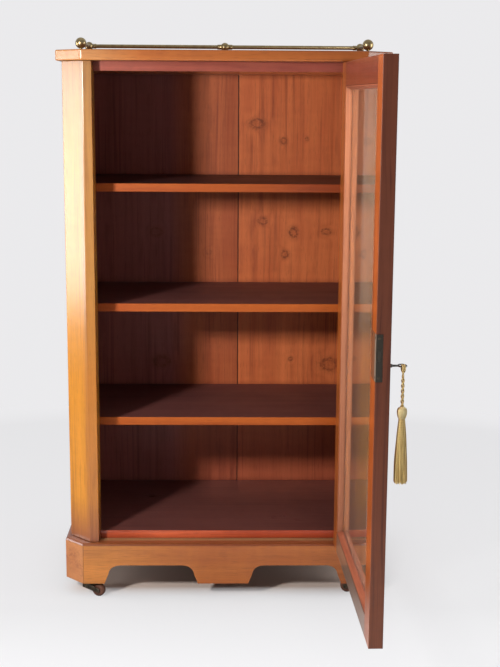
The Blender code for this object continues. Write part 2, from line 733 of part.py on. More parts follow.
def socket(ball_radius, direction):
    """Cutter for the hole in a ball that takes a rail's stub."""
    hole = rod(RAIL_STUB_RADIUS + GAP, ball_radius - RAIL_STUB_REACH - GAP, ball_radius + OVERRUN)
    return moved(hole, (0, 0, RAIL_RISE), axis_from_z=direction)


def build_gallery(cabinet):
    """Three-sided brass gallery on the top board."""
    across = HALF_TOP - GALLERY_SIDE_INSET
    back = CARCASE_DEPTH - GALLERY_BACK_INSET
    front = back - GALLERY_SIDE_LENGTH
    foot = TOP_Z + GAP
    for side in ("left", "right"):
        x = side_sign(side) * across
        finial = cut(gallery_post(FINIAL_RADIUS), socket(FINIAL_RADIUS, (0, 1, 0)))
        place("gallery_finial_" + side, moved(finial, (x, front, foot)), "brass", cabinet, smooth=True)
        inward = (-side_sign(side), 0, 0)
        corner = cut(gallery_post(BALL_RADIUS), socket(BALL_RADIUS, (0, -1, 0)), socket(BALL_RADIUS, inward))
        place("gallery_corner_" + side, moved(corner, (x, back, foot)), "brass", cabinet, smooth=True)
        rail = gallery_rail(GALLERY_SIDE_LENGTH, FINIAL_RADIUS, BALL_RADIUS)
        rail = moved(rail, (x, front, foot + RAIL_RISE), axis_from_z=(0, 1, 0))
        place("gallery_rail_" + side, rail, "brass", cabinet, smooth=True)
    collar_reach = BALL_RADIUS + RAIL_COLLAR_LENGTH
    collar = moved(rod(RAIL_COLLAR_RADIUS, -collar_reach, collar_reach), (0, 0, RAIL_RISE), axis_from_z=(1, 0, 0))
    bore = moved(rod(RAIL_RADIUS + GAP, -collar_reach - OVERRUN, collar_reach + OVERRUN), (0, 0, RAIL_RISE),
                 axis_from_z=(1, 0, 0))
    middle = moved(cut(join(gallery_post(BALL_RADIUS), collar), bore), (0, back, foot))
    place("gallery_middle_post", middle, "brass", cabinet, smooth=True)
    rail = gallery_rail(2 * across, BALL_RADIUS, BALL_RADIUS)
    rail = moved(rail, (-across, back, foot + RAIL_RISE), axis_from_z=(1, 0, 0))
    place("gallery_rail_back", rail, "brass", cabinet, smooth=True)


def hinge_levels():
    """Return the heights of the two hinges' middles."""
    return DOOR_LOW_Z + HINGE_FROM_END, DOOR_HIGH_Z - HINGE_FROM_END


def hinge_leaf(fixed):
    """Leaf with its knuckles, about the pin's middle, with the door shut.

    The fixed leaf has the first, third and fifth knuckle, the moving leaf has the others.
    """
    half = HINGE_LENGTH / 2
    near = 0 if fixed else -DOOR_GAP - LEAF_THICKNESS
    plate = block((near, 0, -half), (near + LEAF_THICKNESS, LEAF_WIDTH, half))
    barrel = rod(KNUCKLE_RADIUS, -half, half)
    cutters = [rod(HINGE_PIN_RADIUS + GAP, -half - OVERRUN, half + OVERRUN)]
    knuckle = HINGE_LENGTH / KNUCKLE_COUNT
    for index in range(KNUCKLE_COUNT):
        if (index % 2 == 0) != fixed:
            low = -half + index * knuckle - GAP / 2
            high = low + knuckle + GAP
            if index == 0:
                low -= OVERRUN
            if index == KNUCKLE_COUNT - 1:
                high += OVERRUN
            cutters.append(rod(KNUCKLE_RADIUS + GAP, low, high))
    return cut(join(plate, barrel), *cutters)


def build_hinges(cabinet, door):
    """Two butt hinges: fixed leaves and pins on the carcase, moving leaves on the door."""
    for name, level in zip(("lower", "upper"), hinge_levels()):
        fixed = moved(hinge_leaf(True), (HALF_OPENING, -PIN_PROUD, level))
        place("hinge_leaf_fixed_" + name, fixed, "brass", cabinet, smooth=True)
        half = HINGE_LENGTH / 2
        head = half + HINGE_PIN_HEAD
        wide = (KNUCKLE_RADIUS + HINGE_PIN_RADIUS) / 2
        profile = (
            (0, -half), (HINGE_PIN_RADIUS, -half), (HINGE_PIN_RADIUS, half + GAP), (wide, half + GAP),
            (wide, head), (0, head),
        )
        pin = moved(turned(profile), (HALF_OPENING, -PIN_PROUD, level))
        place("hinge_pin_" + name, pin, "brass", cabinet, smooth=True)
        moving = moved(hinge_leaf(False), (0, 0, level))
        place("hinge_leaf_moving_" + name, moving, "brass", door, smooth=True)


def lock_shape(extra):
    """Outer shape of the lock, grown by an allowance on its hidden sides."""
    edge = DOOR_FREE_X
    face = DOOR_INNER_Y
    over = OVERRUN if extra else 0
    half = LOCK_HEIGHT / 2 + extra
    box_half = LOCK_BOX_HEIGHT / 2 + extra
    back_plate = block((edge - over, face - LOCK_PLATE - extra, LOCK_Z - half),
                       (edge + LOCK_LENGTH + extra, face + over, LOCK_Z + half))
    selvedge = block((edge - over, face - LOCK_DEPTH - extra, LOCK_Z - half),
                     (edge + LOCK_PLATE + extra, face + over, LOCK_Z + half))
    box = block((edge + LOCK_PLATE / 2, face - LOCK_DEPTH - extra, LOCK_Z - box_half),
                (edge + LOCK_BOX_LENGTH + extra, face - LOCK_PLATE / 2, LOCK_Z + box_half))
    return back_plate, selvedge, box


def build_lock(door):
    """Cut lock let into the door's edge, with its bolt."""
    bolt_half = (BOLT_THICKNESS / 2, BOLT_HEIGHT / 2)
    bolt_low = (DOOR_FREE_X, BOLT_Y - bolt_half[0], BOLT_Z - bolt_half[1])
    bolt_high = (DOOR_FREE_X + BOLT_LENGTH, BOLT_Y + bolt_half[0], BOLT_Z + bolt_half[1])
    channel = block(
        (DOOR_FREE_X - OVERRUN, bolt_low[1] - GAP, bolt_low[2] - GAP),
        (bolt_high[0] + GAP, bolt_high[1] + GAP, bolt_high[2] + GAP),
    )
    ward = rod(LOCK_WARD_RADIUS, -DOOR_INNER_Y + LOCK_PLATE, -DOOR_INNER_Y + LOCK_DEPTH + OVERRUN)
    ward = moved(ward, (KEY_X, 0, KEY_Z), axis_from_z=(0, -1, 0))
    back_plate, selvedge, box = lock_shape(0)
    place("lock_case", cut(join(back_plate, selvedge, box), channel, ward), "bronze", door)
    place("lock_bolt", block(bolt_low, bolt_high), "brass", door)


def build_door_frame(door):
    """Stiles and rails. The lips on the outer side hold the glass, the inner side is rebated."""
    outer = PIN_PROUD
    inner = DOOR_INNER_Y
    hinge_x = -DOOR_GAP
    rebate_y = outer + LIP_THICKNESS
    free_stile_x = DOOR_FREE_X + STILE_WIDTH
    hinge_stile_x = hinge_x - STILE_WIDTH
    lip_free_x = free_stile_x + REBATE_WIDTH
    lip_hinge_x = hinge_stile_x - REBATE_WIDTH

    recesses = []
    for level in hinge_levels():
        half = HINGE_LENGTH / 2 + GAP
        recesses.append(block((hinge_x - LEAF_THICKNESS - GAP, outer - OVERRUN, level - half),
                              (hinge_x + OVERRUN, LEAF_WIDTH + GAP, level + half)))
    stile = block((lip_hinge_x, outer, DOOR_LOW_Z), (hinge_x, inner, DOOR_HIGH_Z),
                  ease=EASE, chosen=edges_on(0, hinge_x))
    rebate = block((lip_hinge_x - OVERRUN, rebate_y, DOOR_LOW_Z - OVERRUN),
                   (hinge_stile_x, inner + OVERRUN, DOOR_HIGH_Z + OVERRUN))
    place("door_hinge_stile", cut(stile, rebate, *recesses), "birch", door)

    stile = block((DOOR_FREE_X, outer, DOOR_LOW_Z), (lip_free_x, inner, DOOR_HIGH_Z),
                  ease=EASE, chosen=edges_on(0, DOOR_FREE_X))
    rebate = block((free_stile_x, rebate_y, DOOR_LOW_Z - OVERRUN),
                   (lip_free_x + OVERRUN, inner + OVERRUN, DOOR_HIGH_Z + OVERRUN))
    reach = rod(KEY_SHANK_RADIUS + KEYHOLE_CLEARANCE, outer - OVERRUN, inner - LOCK_DEPTH)
    keyhole = moved(reach, (KEY_X, 0, KEY_Z), turn=Matrix.Rotation(-math.pi / 2, 4, "X"))
    slot_half = KEY_BIT_THICKNESS / 2 + KEYHOLE_CLEARANCE
    slot_deep = KEY_BIT_REACH + KEYHOLE_CLEARANCE
    slot = block((KEY_X - slot_half, outer - OVERRUN, KEY_Z - slot_deep),
                 (KEY_X + slot_half, inner - LOCK_DEPTH, KEY_Z))
    place("door_lock_stile", cut(stile, rebate, *lock_shape(GAP), keyhole, slot), "birch", door)

    body_x = (free_stile_x + GAP, hinge_stile_x - GAP)
    lip_x = (lip_free_x + GAP, lip_hinge_x - GAP)
    rails = {
        "door_top_rail": (DOOR_HIGH_Z - TOP_RAIL_WIDTH, DOOR_HIGH_Z, -1),
        "door_bottom_rail": (DOOR_LOW_Z, DOOR_LOW_Z + BOTTOM_RAIL_WIDTH, 1),
    }
    for name, (low, high, towards_glass) in rails.items():
        lip_low = low - REBATE_WIDTH if towards_glass < 0 else low
        lip_high = high if towards_glass < 0 else high + REBATE_WIDTH
        rail = block((body_x[0], outer, lip_low), (body_x[1], inner, lip_high))
        rebate_z = (lip_low - OVERRUN, low) if towards_glass < 0 else (high, lip_high + OVERRUN)
        cut_x = (body_x[0] - OVERRUN, body_x[1] + OVERRUN)
        rebate = block((cut_x[0], rebate_y, rebate_z[0]), (cut_x[1], inner + OVERRUN, rebate_z[1]))
        below = (outer - OVERRUN, lip_low - OVERRUN)
        above = (rebate_y + GAP, lip_high + OVERRUN)
        shoulders = [
            block((cut_x[0], *below), (lip_x[0], *above)),
            block((lip_x[1], *below), (cut_x[1], *above)),
        ]
        place(name, cut(rail, rebate, *shoulders), "birch", door)


def glass_opening():
    """Return the rebate's low and high corner in X and Z, in the door's frame."""
    low = (DOOR_FREE_X + STILE_WIDTH, DOOR_LOW_Z + BOTTOM_RAIL_WIDTH)
    high = (-DOOR_GAP - STILE_WIDTH, DOOR_HIGH_Z - TOP_RAIL_WIDTH)
    return low, high


def bead(length):
    """Mitred glazing bead along X, its back at Y 0 and its outer side at Z 0, growing towards +Z."""
    thickness = DOOR_THICKNESS - LIP_THICKNESS - GLASS_THICKNESS - 2 * GAP - BEAD_SETBACK
    profile = (
        (0, 0), (0, REBATE_WIDTH - GAP), (BEAD_NOSE, REBATE_WIDTH - GAP), (thickness, BEAD_TOP_WIDTH),
        (thickness, 0),
    )
    half = length / 2 - GAP
    bm = bmesh.new()
    ends = []
    for sign in (-1, 1):
        ends.append([bm.verts.new((sign * (half - rise), depth, rise)) for depth, rise in profile])
    bm.faces.new(ends[0])
    bm.faces.new(ends[1])
    for index in range(len(profile)):
        bm.faces.new((ends[0][index - 1], ends[0][index], ends[1][index], ends[1][index - 1]))
    return mesh_from(bm)


def build_glazing(door):
    """Glass pane against the lips, and four mitred beads that hold it."""
    low, high = glass_opening()
    glass_y = PIN_PROUD + LIP_THICKNESS + GAP
    pane_low = (low[0] + GAP, glass_y, low[1] + GAP)
    pane_high = (high[0] - GAP, glass_y + GLASS_THICKNESS, high[1] - GAP)
    place("glass_pane", block(pane_low, pane_high), "glass", door)
    bead_y = glass_y + GLASS_THICKNESS + GAP
    middle = ((low[0] + high[0]) / 2, (low[1] + high[1]) / 2)
    width = high[0] - low[0]
    height = high[1] - low[1]
    beads = {
        "glazing_bead_bottom": (width, 0, (middle[0], bead_y, low[1] + GAP)),
        "glazing_bead_top": (width, math.pi, (middle[0], bead_y, high[1] - GAP)),
        "glazing_bead_free": (height, math.pi / 2, (low[0] + GAP, bead_y, middle[1])),
        "glazing_bead_hinge": (height, -math.pi / 2, (high[0] - GAP, bead_y, middle[1])),
    }
    for name, (length, turn, location) in beads.items():
        piece = moved(bead(length), location, turn=Matrix.Rotation(turn, 4, "Y"))
        place(name, piece, "birch", door)


def build_key(door):
    """Key in the lock, its bow turned flat. The key's own Z is its axis, pointing out of the door."""
    axis = empty("key_axis", door, (KEY_X, 0, KEY_Z))
    axis.rotation_euler = (math.pi / 2, 0, 0)
    bow_at = -BOW_Y
    tip = -(DOOR_INNER_Y - LOCK_PLATE - GAP)
    collar = -PIN_PROUD + KEY_COLLAR_STANDOFF
    profile = (
        (0, tip), (KEY_SHANK_RADIUS, tip), (KEY_SHANK_RADIUS, collar), (KEY_COLLAR_RADIUS, collar),
        (KEY_COLLAR_RADIUS, collar + KEY_COLLAR_LENGTH), (KEY_SHANK_RADIUS, collar + KEY_COLLAR_LENGTH),
        (KEY_SHANK_RADIUS, bow_at - BOW_HALF_LENGTH), (0, bow_at - BOW_HALF_LENGTH),
    )
    bow = oval_ring(BOW_HALF_WIDTH, BOW_HALF_LENGTH, BOW_WIRE_RADIUS, TURNED_SIDES, TURNED_SIDES // 2)
    bow = moved(bow, (0, 0, bow_at), turn=Matrix.Rotation(math.pi / 2, 4, "X"))
    half = KEY_BIT_THICKNESS / 2
    bit = block((0, -half, tip), (KEY_BIT_REACH, half, tip + KEY_BIT_LENGTH))
    place("key", join(turned(profile), bow, bit), "steel", axis, smooth=True)


def smooth_route(points, steps):
    """Return points along a smooth curve through the given ones."""
    points = [Vector(point) for point in points]
    padded = [points[0], *points, points[-1]]
    route = []
    for before, start, end, after in zip(padded, padded[1:], padded[2:], padded[3:]):
        for step in range(steps):
            share = step / steps
            route.append((
                2 * start + (end - before) * share
                + (2 * before - 5 * start + 4 * end - after) * share ** 2
                + (3 * start - before - 3 * end + after) * share ** 3
            ) / 2)
    return [*route, points[-1]]


def build_tassel(door):
    """Tassel on its doubled cord, which hangs over the bow's rim on the free edge's side."""
    pivot = empty("tassel_pivot", door, (KEY_X - BOW_HALF_WIDTH, BOW_Y, KEY_Z))
    curve = bpy.data.curves.new("tassel_cord", "CURVE")
    curve.dimensions = "3D"
    curve.bevel_depth = CORD_DIAMETER / 2
    curve.bevel_resolution = 2
    curve.use_fill_caps = True
    route = smooth_route(CORD_ROUTE, CORD_STEPS_PER_SPAN)
    spline = curve.splines.new("POLY")
    spline.points.add(len(route) - 1)
    for point, co in zip(spline.points, route):
        point.co = (*co, 1)
    curve.materials.append(finish_material("gold_yarn"))
    cord = bpy.data.objects.new("tassel_cord", curve)
    bpy.context.collection.objects.link(cord)
    cord.parent = pivot

    top = -HEAD_DROP
    bottom = top - HEAD_HEIGHT
    belly = top - HEAD_HEIGHT / 2
    head = (
        (0, top), (HEAD_TOP_RADIUS, top), ((HEAD_TOP_RADIUS + HEAD_RADIUS) / 2, (top * 3 + belly) / 4),
        (HEAD_RADIUS, belly), ((HEAD_RADIUS + NECK_BINDING_RADIUS) / 2, (belly + bottom * 3) / 4),
        (NECK_BINDING_RADIUS, bottom), (0, bottom),
    )
    place("tassel_head", turned(head), "gold_yarn", pivot, smooth=True)
    skirt_top = bottom - GAP
    skirt_bottom = skirt_top - SKIRT_LENGTH
    skirt = (
        (0, skirt_top), (SKIRT_TOP_RADIUS, skirt_top), (SKIRT_BOTTOM_RADIUS, skirt_bottom), (0, skirt_bottom),
    )
    place("tassel_skirt", turned(skirt), "gold_yarn", pivot, smooth=True)


def main():
    clear_scene()
    cabinet = empty("cabinet", None, (0, DATUM_Y, 0))
    door = empty("door_pivot", cabinet, (HALF_OPENING, -PIN_PROUD, 0), DOOR_REST_ANGLE)
    build_top_board(cabinet)
    build_stop_boards(cabinet)
    build_shelves(cabinet)
    build_sides(cabinet)
    build_posts(cabinet)
    build_back_boards(cabinet)
    build_plinth(cabinet)
    build_castors(cabinet)
    build_gallery(cabinet)
    build_hinges(cabinet, door)
    build_door_frame(door)
    build_lock(door)
    build_glazing(door)
    build_key(door)
    build_tassel(door)


main()
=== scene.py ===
import math
import random

import bmesh
import bpy
from mathutils import Matrix, Vector


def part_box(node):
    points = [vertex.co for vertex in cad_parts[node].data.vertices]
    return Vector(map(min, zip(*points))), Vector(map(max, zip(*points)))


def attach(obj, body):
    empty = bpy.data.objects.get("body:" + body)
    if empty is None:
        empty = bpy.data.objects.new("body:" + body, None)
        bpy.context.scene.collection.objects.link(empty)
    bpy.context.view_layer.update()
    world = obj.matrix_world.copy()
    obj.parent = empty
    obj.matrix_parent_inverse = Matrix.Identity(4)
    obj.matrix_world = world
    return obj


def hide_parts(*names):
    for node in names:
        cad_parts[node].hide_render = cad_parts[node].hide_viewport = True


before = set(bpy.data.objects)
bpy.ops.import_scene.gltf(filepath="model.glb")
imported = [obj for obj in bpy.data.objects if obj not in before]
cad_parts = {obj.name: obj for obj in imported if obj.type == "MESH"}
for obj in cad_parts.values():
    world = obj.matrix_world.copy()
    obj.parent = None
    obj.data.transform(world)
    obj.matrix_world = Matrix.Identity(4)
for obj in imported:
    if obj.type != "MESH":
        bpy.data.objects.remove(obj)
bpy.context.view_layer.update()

bl_info = {
    "name": "Pier Cabinet",
    "version": (1, 0, 0),
    "blender": (4, 5, 0),
    "location": "3D View > Sidebar > Cabinet",
    "description": "Dresses a polished birch pier cabinet with its brass, glass, key and tassel",
    "category": "Object",
}

# Places that the dressing follows, in metres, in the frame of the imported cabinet
PIN_LOW, PIN_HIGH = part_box("hinge_pin_upper")
HINGE = ((PIN_LOW.x + PIN_HIGH.x) / 2, (PIN_LOW.y + PIN_HIGH.y) / 2, 0)
POST_FRONT_Y = HINGE[1] + 0.004
DOOR_TURN = math.radians(91.8)
DOOR = Matrix.Translation(HINGE) @ Matrix.Rotation(DOOR_TURN, 4, "Z")
CABINET = Matrix.Translation((0, POST_FRONT_Y, 0))
FREE_EDGE = -0.4905
DOOR_OUTER, DOOR_INNER = 0.004, 0.0275
KEY_X, KEY_Z = -0.4685, 0.573477
BOW_Y, BOW_HALF_WIDTH, BOW_HALF_LENGTH = -0.01765, 0.0095, 0.00625
LOCK_Z = 0.589477
TASSEL = DOOR @ Matrix.Translation((KEY_X - BOW_HALF_WIDTH, BOW_Y, KEY_Z))
CORNERS = ("front_left", "front_right", "back_left", "back_right")
SIDES = ("left", "right")
HEAD_HEIGHT = 0.0005
HEAD_SIDES, PLY_SIDES, THREAD_SIDES = 20, 8, 5
FULL_TURN = 2 * math.pi
GOLDEN_ANGLE = math.pi * (3 - math.sqrt(5))

# Planes where a mark's tone changes, for a dye, dust or painted shade: the axis and two places on it, in the
# frame of the cabinet or the door
STOP_PLANE = ("Y", 0.0260, 0.0275)
SHELF_PLANE = ("Y", 0.0650, 0.0665)
BACK_PLANE = ("Y", 0.3690, 0.3705)
STILE_PLANE = ("Y", 0.0262, 0.0270)
RAIL_PLANE = ("Y", 0.0052, 0.0046)
KNOT_DEPTH = 0.362

# Shares that make another tone of one
DIRTY = (0.45, 0.38, 0.36)
DEEP = (0.35, 0.35, 0.35)
RUDDY = (0.95, 0.72, 0.80)
STREAKED = (0.52, 0.42, 0.48)
RUBBED = (1.35, 1.3, 1.2)
# Grime and painted shade: shares that darken wood in its corners and recesses
CORNER_GRIME_AND_SHADE = (0.30, 0.22, 0.20)
MARK_DEEPER = (0.55, 0.55, 0.55)
BACK_GRAIN = (0.64, 0.50, 0.44)
BEHIND = (0.8, 0.8, 0.8)
# Painted reflection: shares that lighten the foot of the door's edge, for the bright floor mirrored in it
EDGE_FOOT_REFLECTION = (1.55, 1.50, 1.15)
GLASS_SHADOW = (0.93, 0.93, 0.93)


class Signal:
    """Output of a node, in which sums are written as they are for numbers."""

    def __init__(self, bench, socket):
        self.bench = bench
        self.socket = socket

    def __add__(self, other):
        return self.bench.sum("ADD", self, other)

    def __sub__(self, other):
        return self.bench.sum("SUBTRACT", self, other)

    def __rsub__(self, other):
        return self.bench.sum("SUBTRACT", other, self)

    def __mul__(self, other):
        return self.bench.sum("MULTIPLY", self, other)

    def __truediv__(self, other):
        return self.bench.sum("DIVIDE", self, other)

    __radd__ = __add__
    __rmul__ = __mul__

    def most(self, other):
        """Return the greater of two signals."""
        return self.bench.sum("MAXIMUM", self, other)

    def spread(self, low, high, start=0.0, end=1.0, how="LINEAR"):
        """Map a stretch of the signal onto another one, and hold it at both ends."""
        feeds = {0: self, 1: low, 2: high, 3: start, 4: end}
        return self.bench.out("ShaderNodeMapRange", feeds, interpolation_type=how)


class Bench:
    """Adds nodes to one tree and wires them."""

    def __init__(self, tree):
        self.tree = tree

    def feed(self, node, feeds):
        """Feed a node's inputs with values or with signals."""
        for key, value in feeds.items():
            if isinstance(value, Signal):
                self.tree.links.new(value.socket, node.inputs[key])
            else:
                node.inputs[key].default_value = value

    def add(self, kind, feeds=None, **options):
        """Add a node, set its options and feed its inputs."""
        node = self.tree.nodes.new(kind)
        for option, value in options.items():
            setattr(node, option, value)
        self.feed(node, feeds or {})
        return node

    def out(self, kind, feeds=None, output=0, **options):
        """Add a node and return one of its outputs."""
        return Signal(self, self.add(kind, feeds, **options).outputs[output])

    def sum(self, operation, *values, clamp=False):
        return self.out("ShaderNodeMath", dict(enumerate(values)), operation=operation, use_clamp=clamp)

    def vector(self, operation, *values):
        output = "Value" if operation in ("DOT_PRODUCT", "LENGTH") else "Vector"
        return self.out("ShaderNodeVectorMath", dict(enumerate(values)), output, operation=operation)

    def scaled(self, vector, factor):
        return self.out("ShaderNodeVectorMath", {0: vector, 3: factor}, operation="SCALE")

    def split(self, vector):
        return [Signal(self, socket) for socket in self.add("ShaderNodeSeparateXYZ", {0: vector}).outputs]

    def joined(self, x, y, z):
        return self.out("ShaderNodeCombineXYZ", {0: x, 1: y, 2: z})

    def blend(self, factor, first, second, how="MIX"):
        feeds = {0: factor, 6: first, 7: second}
        return self.out("ShaderNodeMix", feeds, 2, data_type="RGBA", blend_type=how)

    def dyed(self, factor, tone, shares):
        """Multiply a tone by shares, as far as the factor says."""
        return self.blend(factor, tone, self.blend(1.0, tone, colour(shares), "MULTIPLY"))

    def noise(self, vector, stretch, detail=2.0, roughness=0.5):
        drawn = self.vector("MULTIPLY", vector, stretch)
        feeds = {"Vector": drawn, "Scale": 1.0, "Detail": detail, "Roughness": roughness}
        return self.out("ShaderNodeTexNoise", feeds)

    def place(self):
        return self.out("ShaderNodeTexCoord", output="Object")

    def mapped(self, place, location, rotation):
        return self.out("ShaderNodeMapping", {"Vector": place, "Location": location, "Rotation": rotation})

    def within(self, place, home):
        """Return a place in the frame of the door or the cabinet."""
        back = home.inverted()
        return self.mapped(place, back.to_translation(), back.to_euler())

    def arrises(self, radius, low, high, strength):
        """Return the normal with its arrises rounded, and how near an arris each spot is."""
        soft = self.out("ShaderNodeBevel", {"Radius": radius}, samples=4)
        flat = self.out("ShaderNodeNewGeometry", output="Normal")
        return soft, self.vector("DOT_PRODUCT", soft, flat).spread(low, high, 0.0, strength)

    def bump(self, strength, distance, height, **feeds):
        feeds = {"Strength": strength, "Distance": distance, "Height": height, **feeds}
        return self.out("ShaderNodeBump", feeds)

    def rays(self, *kinds):
        """Return signals that say whether a ray is of each kind."""
        outputs = self.add("ShaderNodeLightPath").outputs
        return [Signal(self, outputs["Is " + kind + " Ray"]) for kind in kinds]

    def surface(self, factor, shader, other):
        """Mix the material's shader with another one, as the factor says."""
        whole = self.out("ShaderNodeMixShader", {0: factor, 1: Signal(self, shader.outputs[0]), 2: other})
        self.feed(self.tree.nodes["Material Output"], {"Surface": whole})

    def stored(self, geometry, name, value):
        feeds = {0: geometry, "Name": name, "Value": value}
        return self.out("GeometryNodeStoreNamedAttribute", feeds, data_type="FLOAT", domain="POINT")


def colour(tone):
    """Give a colour its fourth number."""
    return (*tone, 1.0)


def grey(level):
    return (level, level, level, 1.0)


def dimmed(tone, shares):
    """Multiply each part of a colour by its share."""
    return tuple(part * share for part, share in zip(tone, shares))


def new_material(name):
    material = bpy.data.materials.new(name)
    material.use_nodes = True
    return material, Bench(material.node_tree), material.node_tree.nodes["Principled BSDF"]


def new_group(name, kind, inputs, outputs):
    """Start a node group with named inputs and outputs."""
    tree = bpy.data.node_groups.new(name, kind)
    for direction, sockets in (("INPUT", inputs), ("OUTPUT", outputs)):
        for title, form in sockets.items():
            tree.interface.new_socket(name=title, in_out=direction, socket_type="NodeSocket" + form)
    bench = Bench(tree)
    given = bench.add("NodeGroupInput").outputs
    given = {title: Signal(bench, given[title]) for title in inputs}
    return bench, given, bench.add("NodeGroupOutput")


def build_grain_group():
    """Pattern of wood whose fibres run along Z."""
    bench, given, result = new_group(
        "wood_grain", "ShaderNodeTree", {"Place": "Vector", "Swirl": "Float", "Rings": "Float"},
        dict.fromkeys(("Shade", "Fibre", "Pores", "Streaks", "Patches"), "Float"))
    place = given["Place"]
    drift = bench.noise(place, (4, 4, 1.3), 2)
    bent = bench.vector("ADD", place, bench.scaled(bench.joined(drift, drift, 0.0), 0.03))
    tone = bench.noise(bent, (9, 9, 0.8), 3).spread(0.3, 0.7)
    growth = (bench.noise(bent, (15, 15, 0.55), 1) + given["Swirl"] * 0.12) * given["Rings"]
    lines = bench.sum("POWER", bench.sum("PINGPONG", growth, 1.0), 2.2)
    streak = bench.noise(bent, (120, 120, 2.2), 2).spread(0.3, 0.7)
    fibre = bench.noise(place, (430, 430, 7), 2)
    curl = bench.noise(bent, (16, 16, 70), 1).spread(0.35, 0.65, -0.05, 0.05)
    shade = tone * 0.46 + lines * 0.26 + streak * 0.22 + fibre.spread(0.25, 0.75) * 0.14
    broad = bench.noise(bent, (75, 75, 2.6), 3, 0.6).spread(0.52, 0.68)
    broken = bench.noise(bent, (45, 45, 16), 3).spread(0.38, 0.62)
    fine = bench.noise(bent, (230, 230, 1.8), 1).spread(0.55, 0.66)
    parted = bench.noise(bent, (24, 24, 5), 1).spread(0.40, 0.60)
    bench.feed(result, {
        "Shade": bench.sum("ADD", shade, curl, clamp=True),
        "Fibre": fibre,
        "Pores": bench.noise(place, (1500, 1500, 38), 1).spread(0.63, 0.72),
        "Streaks": (broad * broken).most(fine * parted),
        "Patches": bench.noise(bent, (13, 13, 3.2), 3, 0.6).spread(0.48, 0.68, how="SMOOTHSTEP"),
    })


def stained_or_lit(bench, place, tone, marks, mottle):
    """Colour one side of each mark's plane: (axis, start, end, tone, strength).

    The tone is a dye or wear of the surface, or painted light or shade; it is one colour, or a low and a high
    colour with the two heights between which one turns into the other.
    """
    parts = bench.split(place)
    ragged = (bench.noise(place, (60, 60, 60), 2) - 0.5) * 0.0012
    for axis, start, end, mark_tone, strength in marks:
        mask = (parts["XYZ".index(axis)] + ragged).spread(start, end, 0.0, strength)
        if len(mark_tone) == 4:
            low, high, low_height, high_height = mark_tone
            mark_tone = bench.blend(parts[2].spread(low_height, high_height), colour(low), colour(high))
        else:
            mark_tone = colour(mark_tone)
        tone = bench.blend(mask, tone, bench.dyed(mottle * 0.8, mark_tone, MARK_DEEPER))
    return tone


TURNS_TO_Z = {"X": (0, math.pi / 2, 0), "Y": (math.pi / 2, 0, 0), "Z": (0, 0, 0)}
SEED_STEPS = (1.7, 3.1, 2.3)


def knotted(bench, place, knots):
    """Return how the growth swirls about the knots, and how dark they are."""
    swirl, core = 0.0, 0.0
    wobble = (bench.noise(place, (130, 1, 130), 2) - 0.5) * 0.55
    for across, height, wide, high, strength in knots:
        away = bench.vector("SUBTRACT", place, (across, KNOT_DEPTH, height))
        away = bench.vector("LENGTH", bench.vector("MULTIPLY", away, (1 / wide, 0, 1 / high))) + wobble
        rim = bench.sum("ABSOLUTE", away - 0.80).spread(0.14, 0.52, strength, 0.0)
        heart = away.spread(0.55, 0.1, 0.0, strength * 0.25)
        halo = away.spread(2.1, 0.8, 0.0, strength * 0.42, "SMOOTHSTEP")
        swirl = away.spread(3.2, 0.2, 0.0, 1.0, "SMOOTHSTEP") + swirl
        core = rim.most(halo).most(heart).most(core)
    return swirl, core * bench.noise(place, (260, 1, 260), 2).spread(0.35, 0.6, 0.35, 1.0)


def timber(name, tones, grain, seed, home=CABINET, rings=7.0, sheen=0.3, coat=0.35, shine=0.3,
           marks=(), knots=(), pores=0.5, streaks=0.45, patches=0.35):
    """Polished wood. Each mark colours one side of a plane in the home's frame, the cabinet's or the door's,
    with a dye or with painted light or shade.
    """
    light, dark = tones
    material, bench, shader = new_material(name)
    place = bench.within(bench.place(), home)
    swirl, core = knotted(bench, place, knots) if knots else (0.0, None)
    fibres = bench.mapped(place, [seed * step for step in SEED_STEPS], TURNS_TO_Z[grain])
    figure = bench.add("ShaderNodeGroup", {"Place": fibres, "Swirl": swirl, "Rings": rings},
                       node_tree=bpy.data.node_groups["wood_grain"])
    shade, fibre, pits, streaked, patched = (Signal(bench, output) for output in figure.outputs)
    deep = colour(dimmed(dark, DEEP))
    tone = bench.blend(shade, colour(light), colour(dark))
    tone = bench.blend(patched * patches, tone, colour(dimmed(dark, RUDDY)))
    tone = stained_or_lit(bench, place, tone, marks, shade)
    tone = bench.dyed(streaked * streaks, tone, STREAKED)
    tone = bench.blend(pits * pores, tone, deep)
    if knots:
        tone = bench.blend(core, tone, deep)
    soft, arris = bench.arrises(0.0011, 0.985, 0.86, 0.35)
    tone = bench.dyed(arris, tone, RUBBED)
    # Grime and painted shade: ambient occlusion darkens the colour in corners and recesses
    corner = bench.out("ShaderNodeAmbientOcclusion", {"Distance": 0.012}, "AO", samples=4)
    smear = bench.noise(place, (14, 14, 14), 3)
    bench.feed(shader, {
        "Base Color": bench.dyed(corner.spread(0.35, 0.95, 0.62, 0.0, "SMOOTHSTEP"), tone, CORNER_GRIME_AND_SHADE),
        "Roughness": (fibre - 0.5) * 0.10 + (smear - 0.5) * 0.16 + sheen,
        "Normal": bench.bump(0.12, 0.0003, fibre - pits * 0.6, Normal=soft),
        "Coat Weight": coat,
        "Coat Roughness": 0.20,
        "Specular IOR Level": shine,
    })
    return material


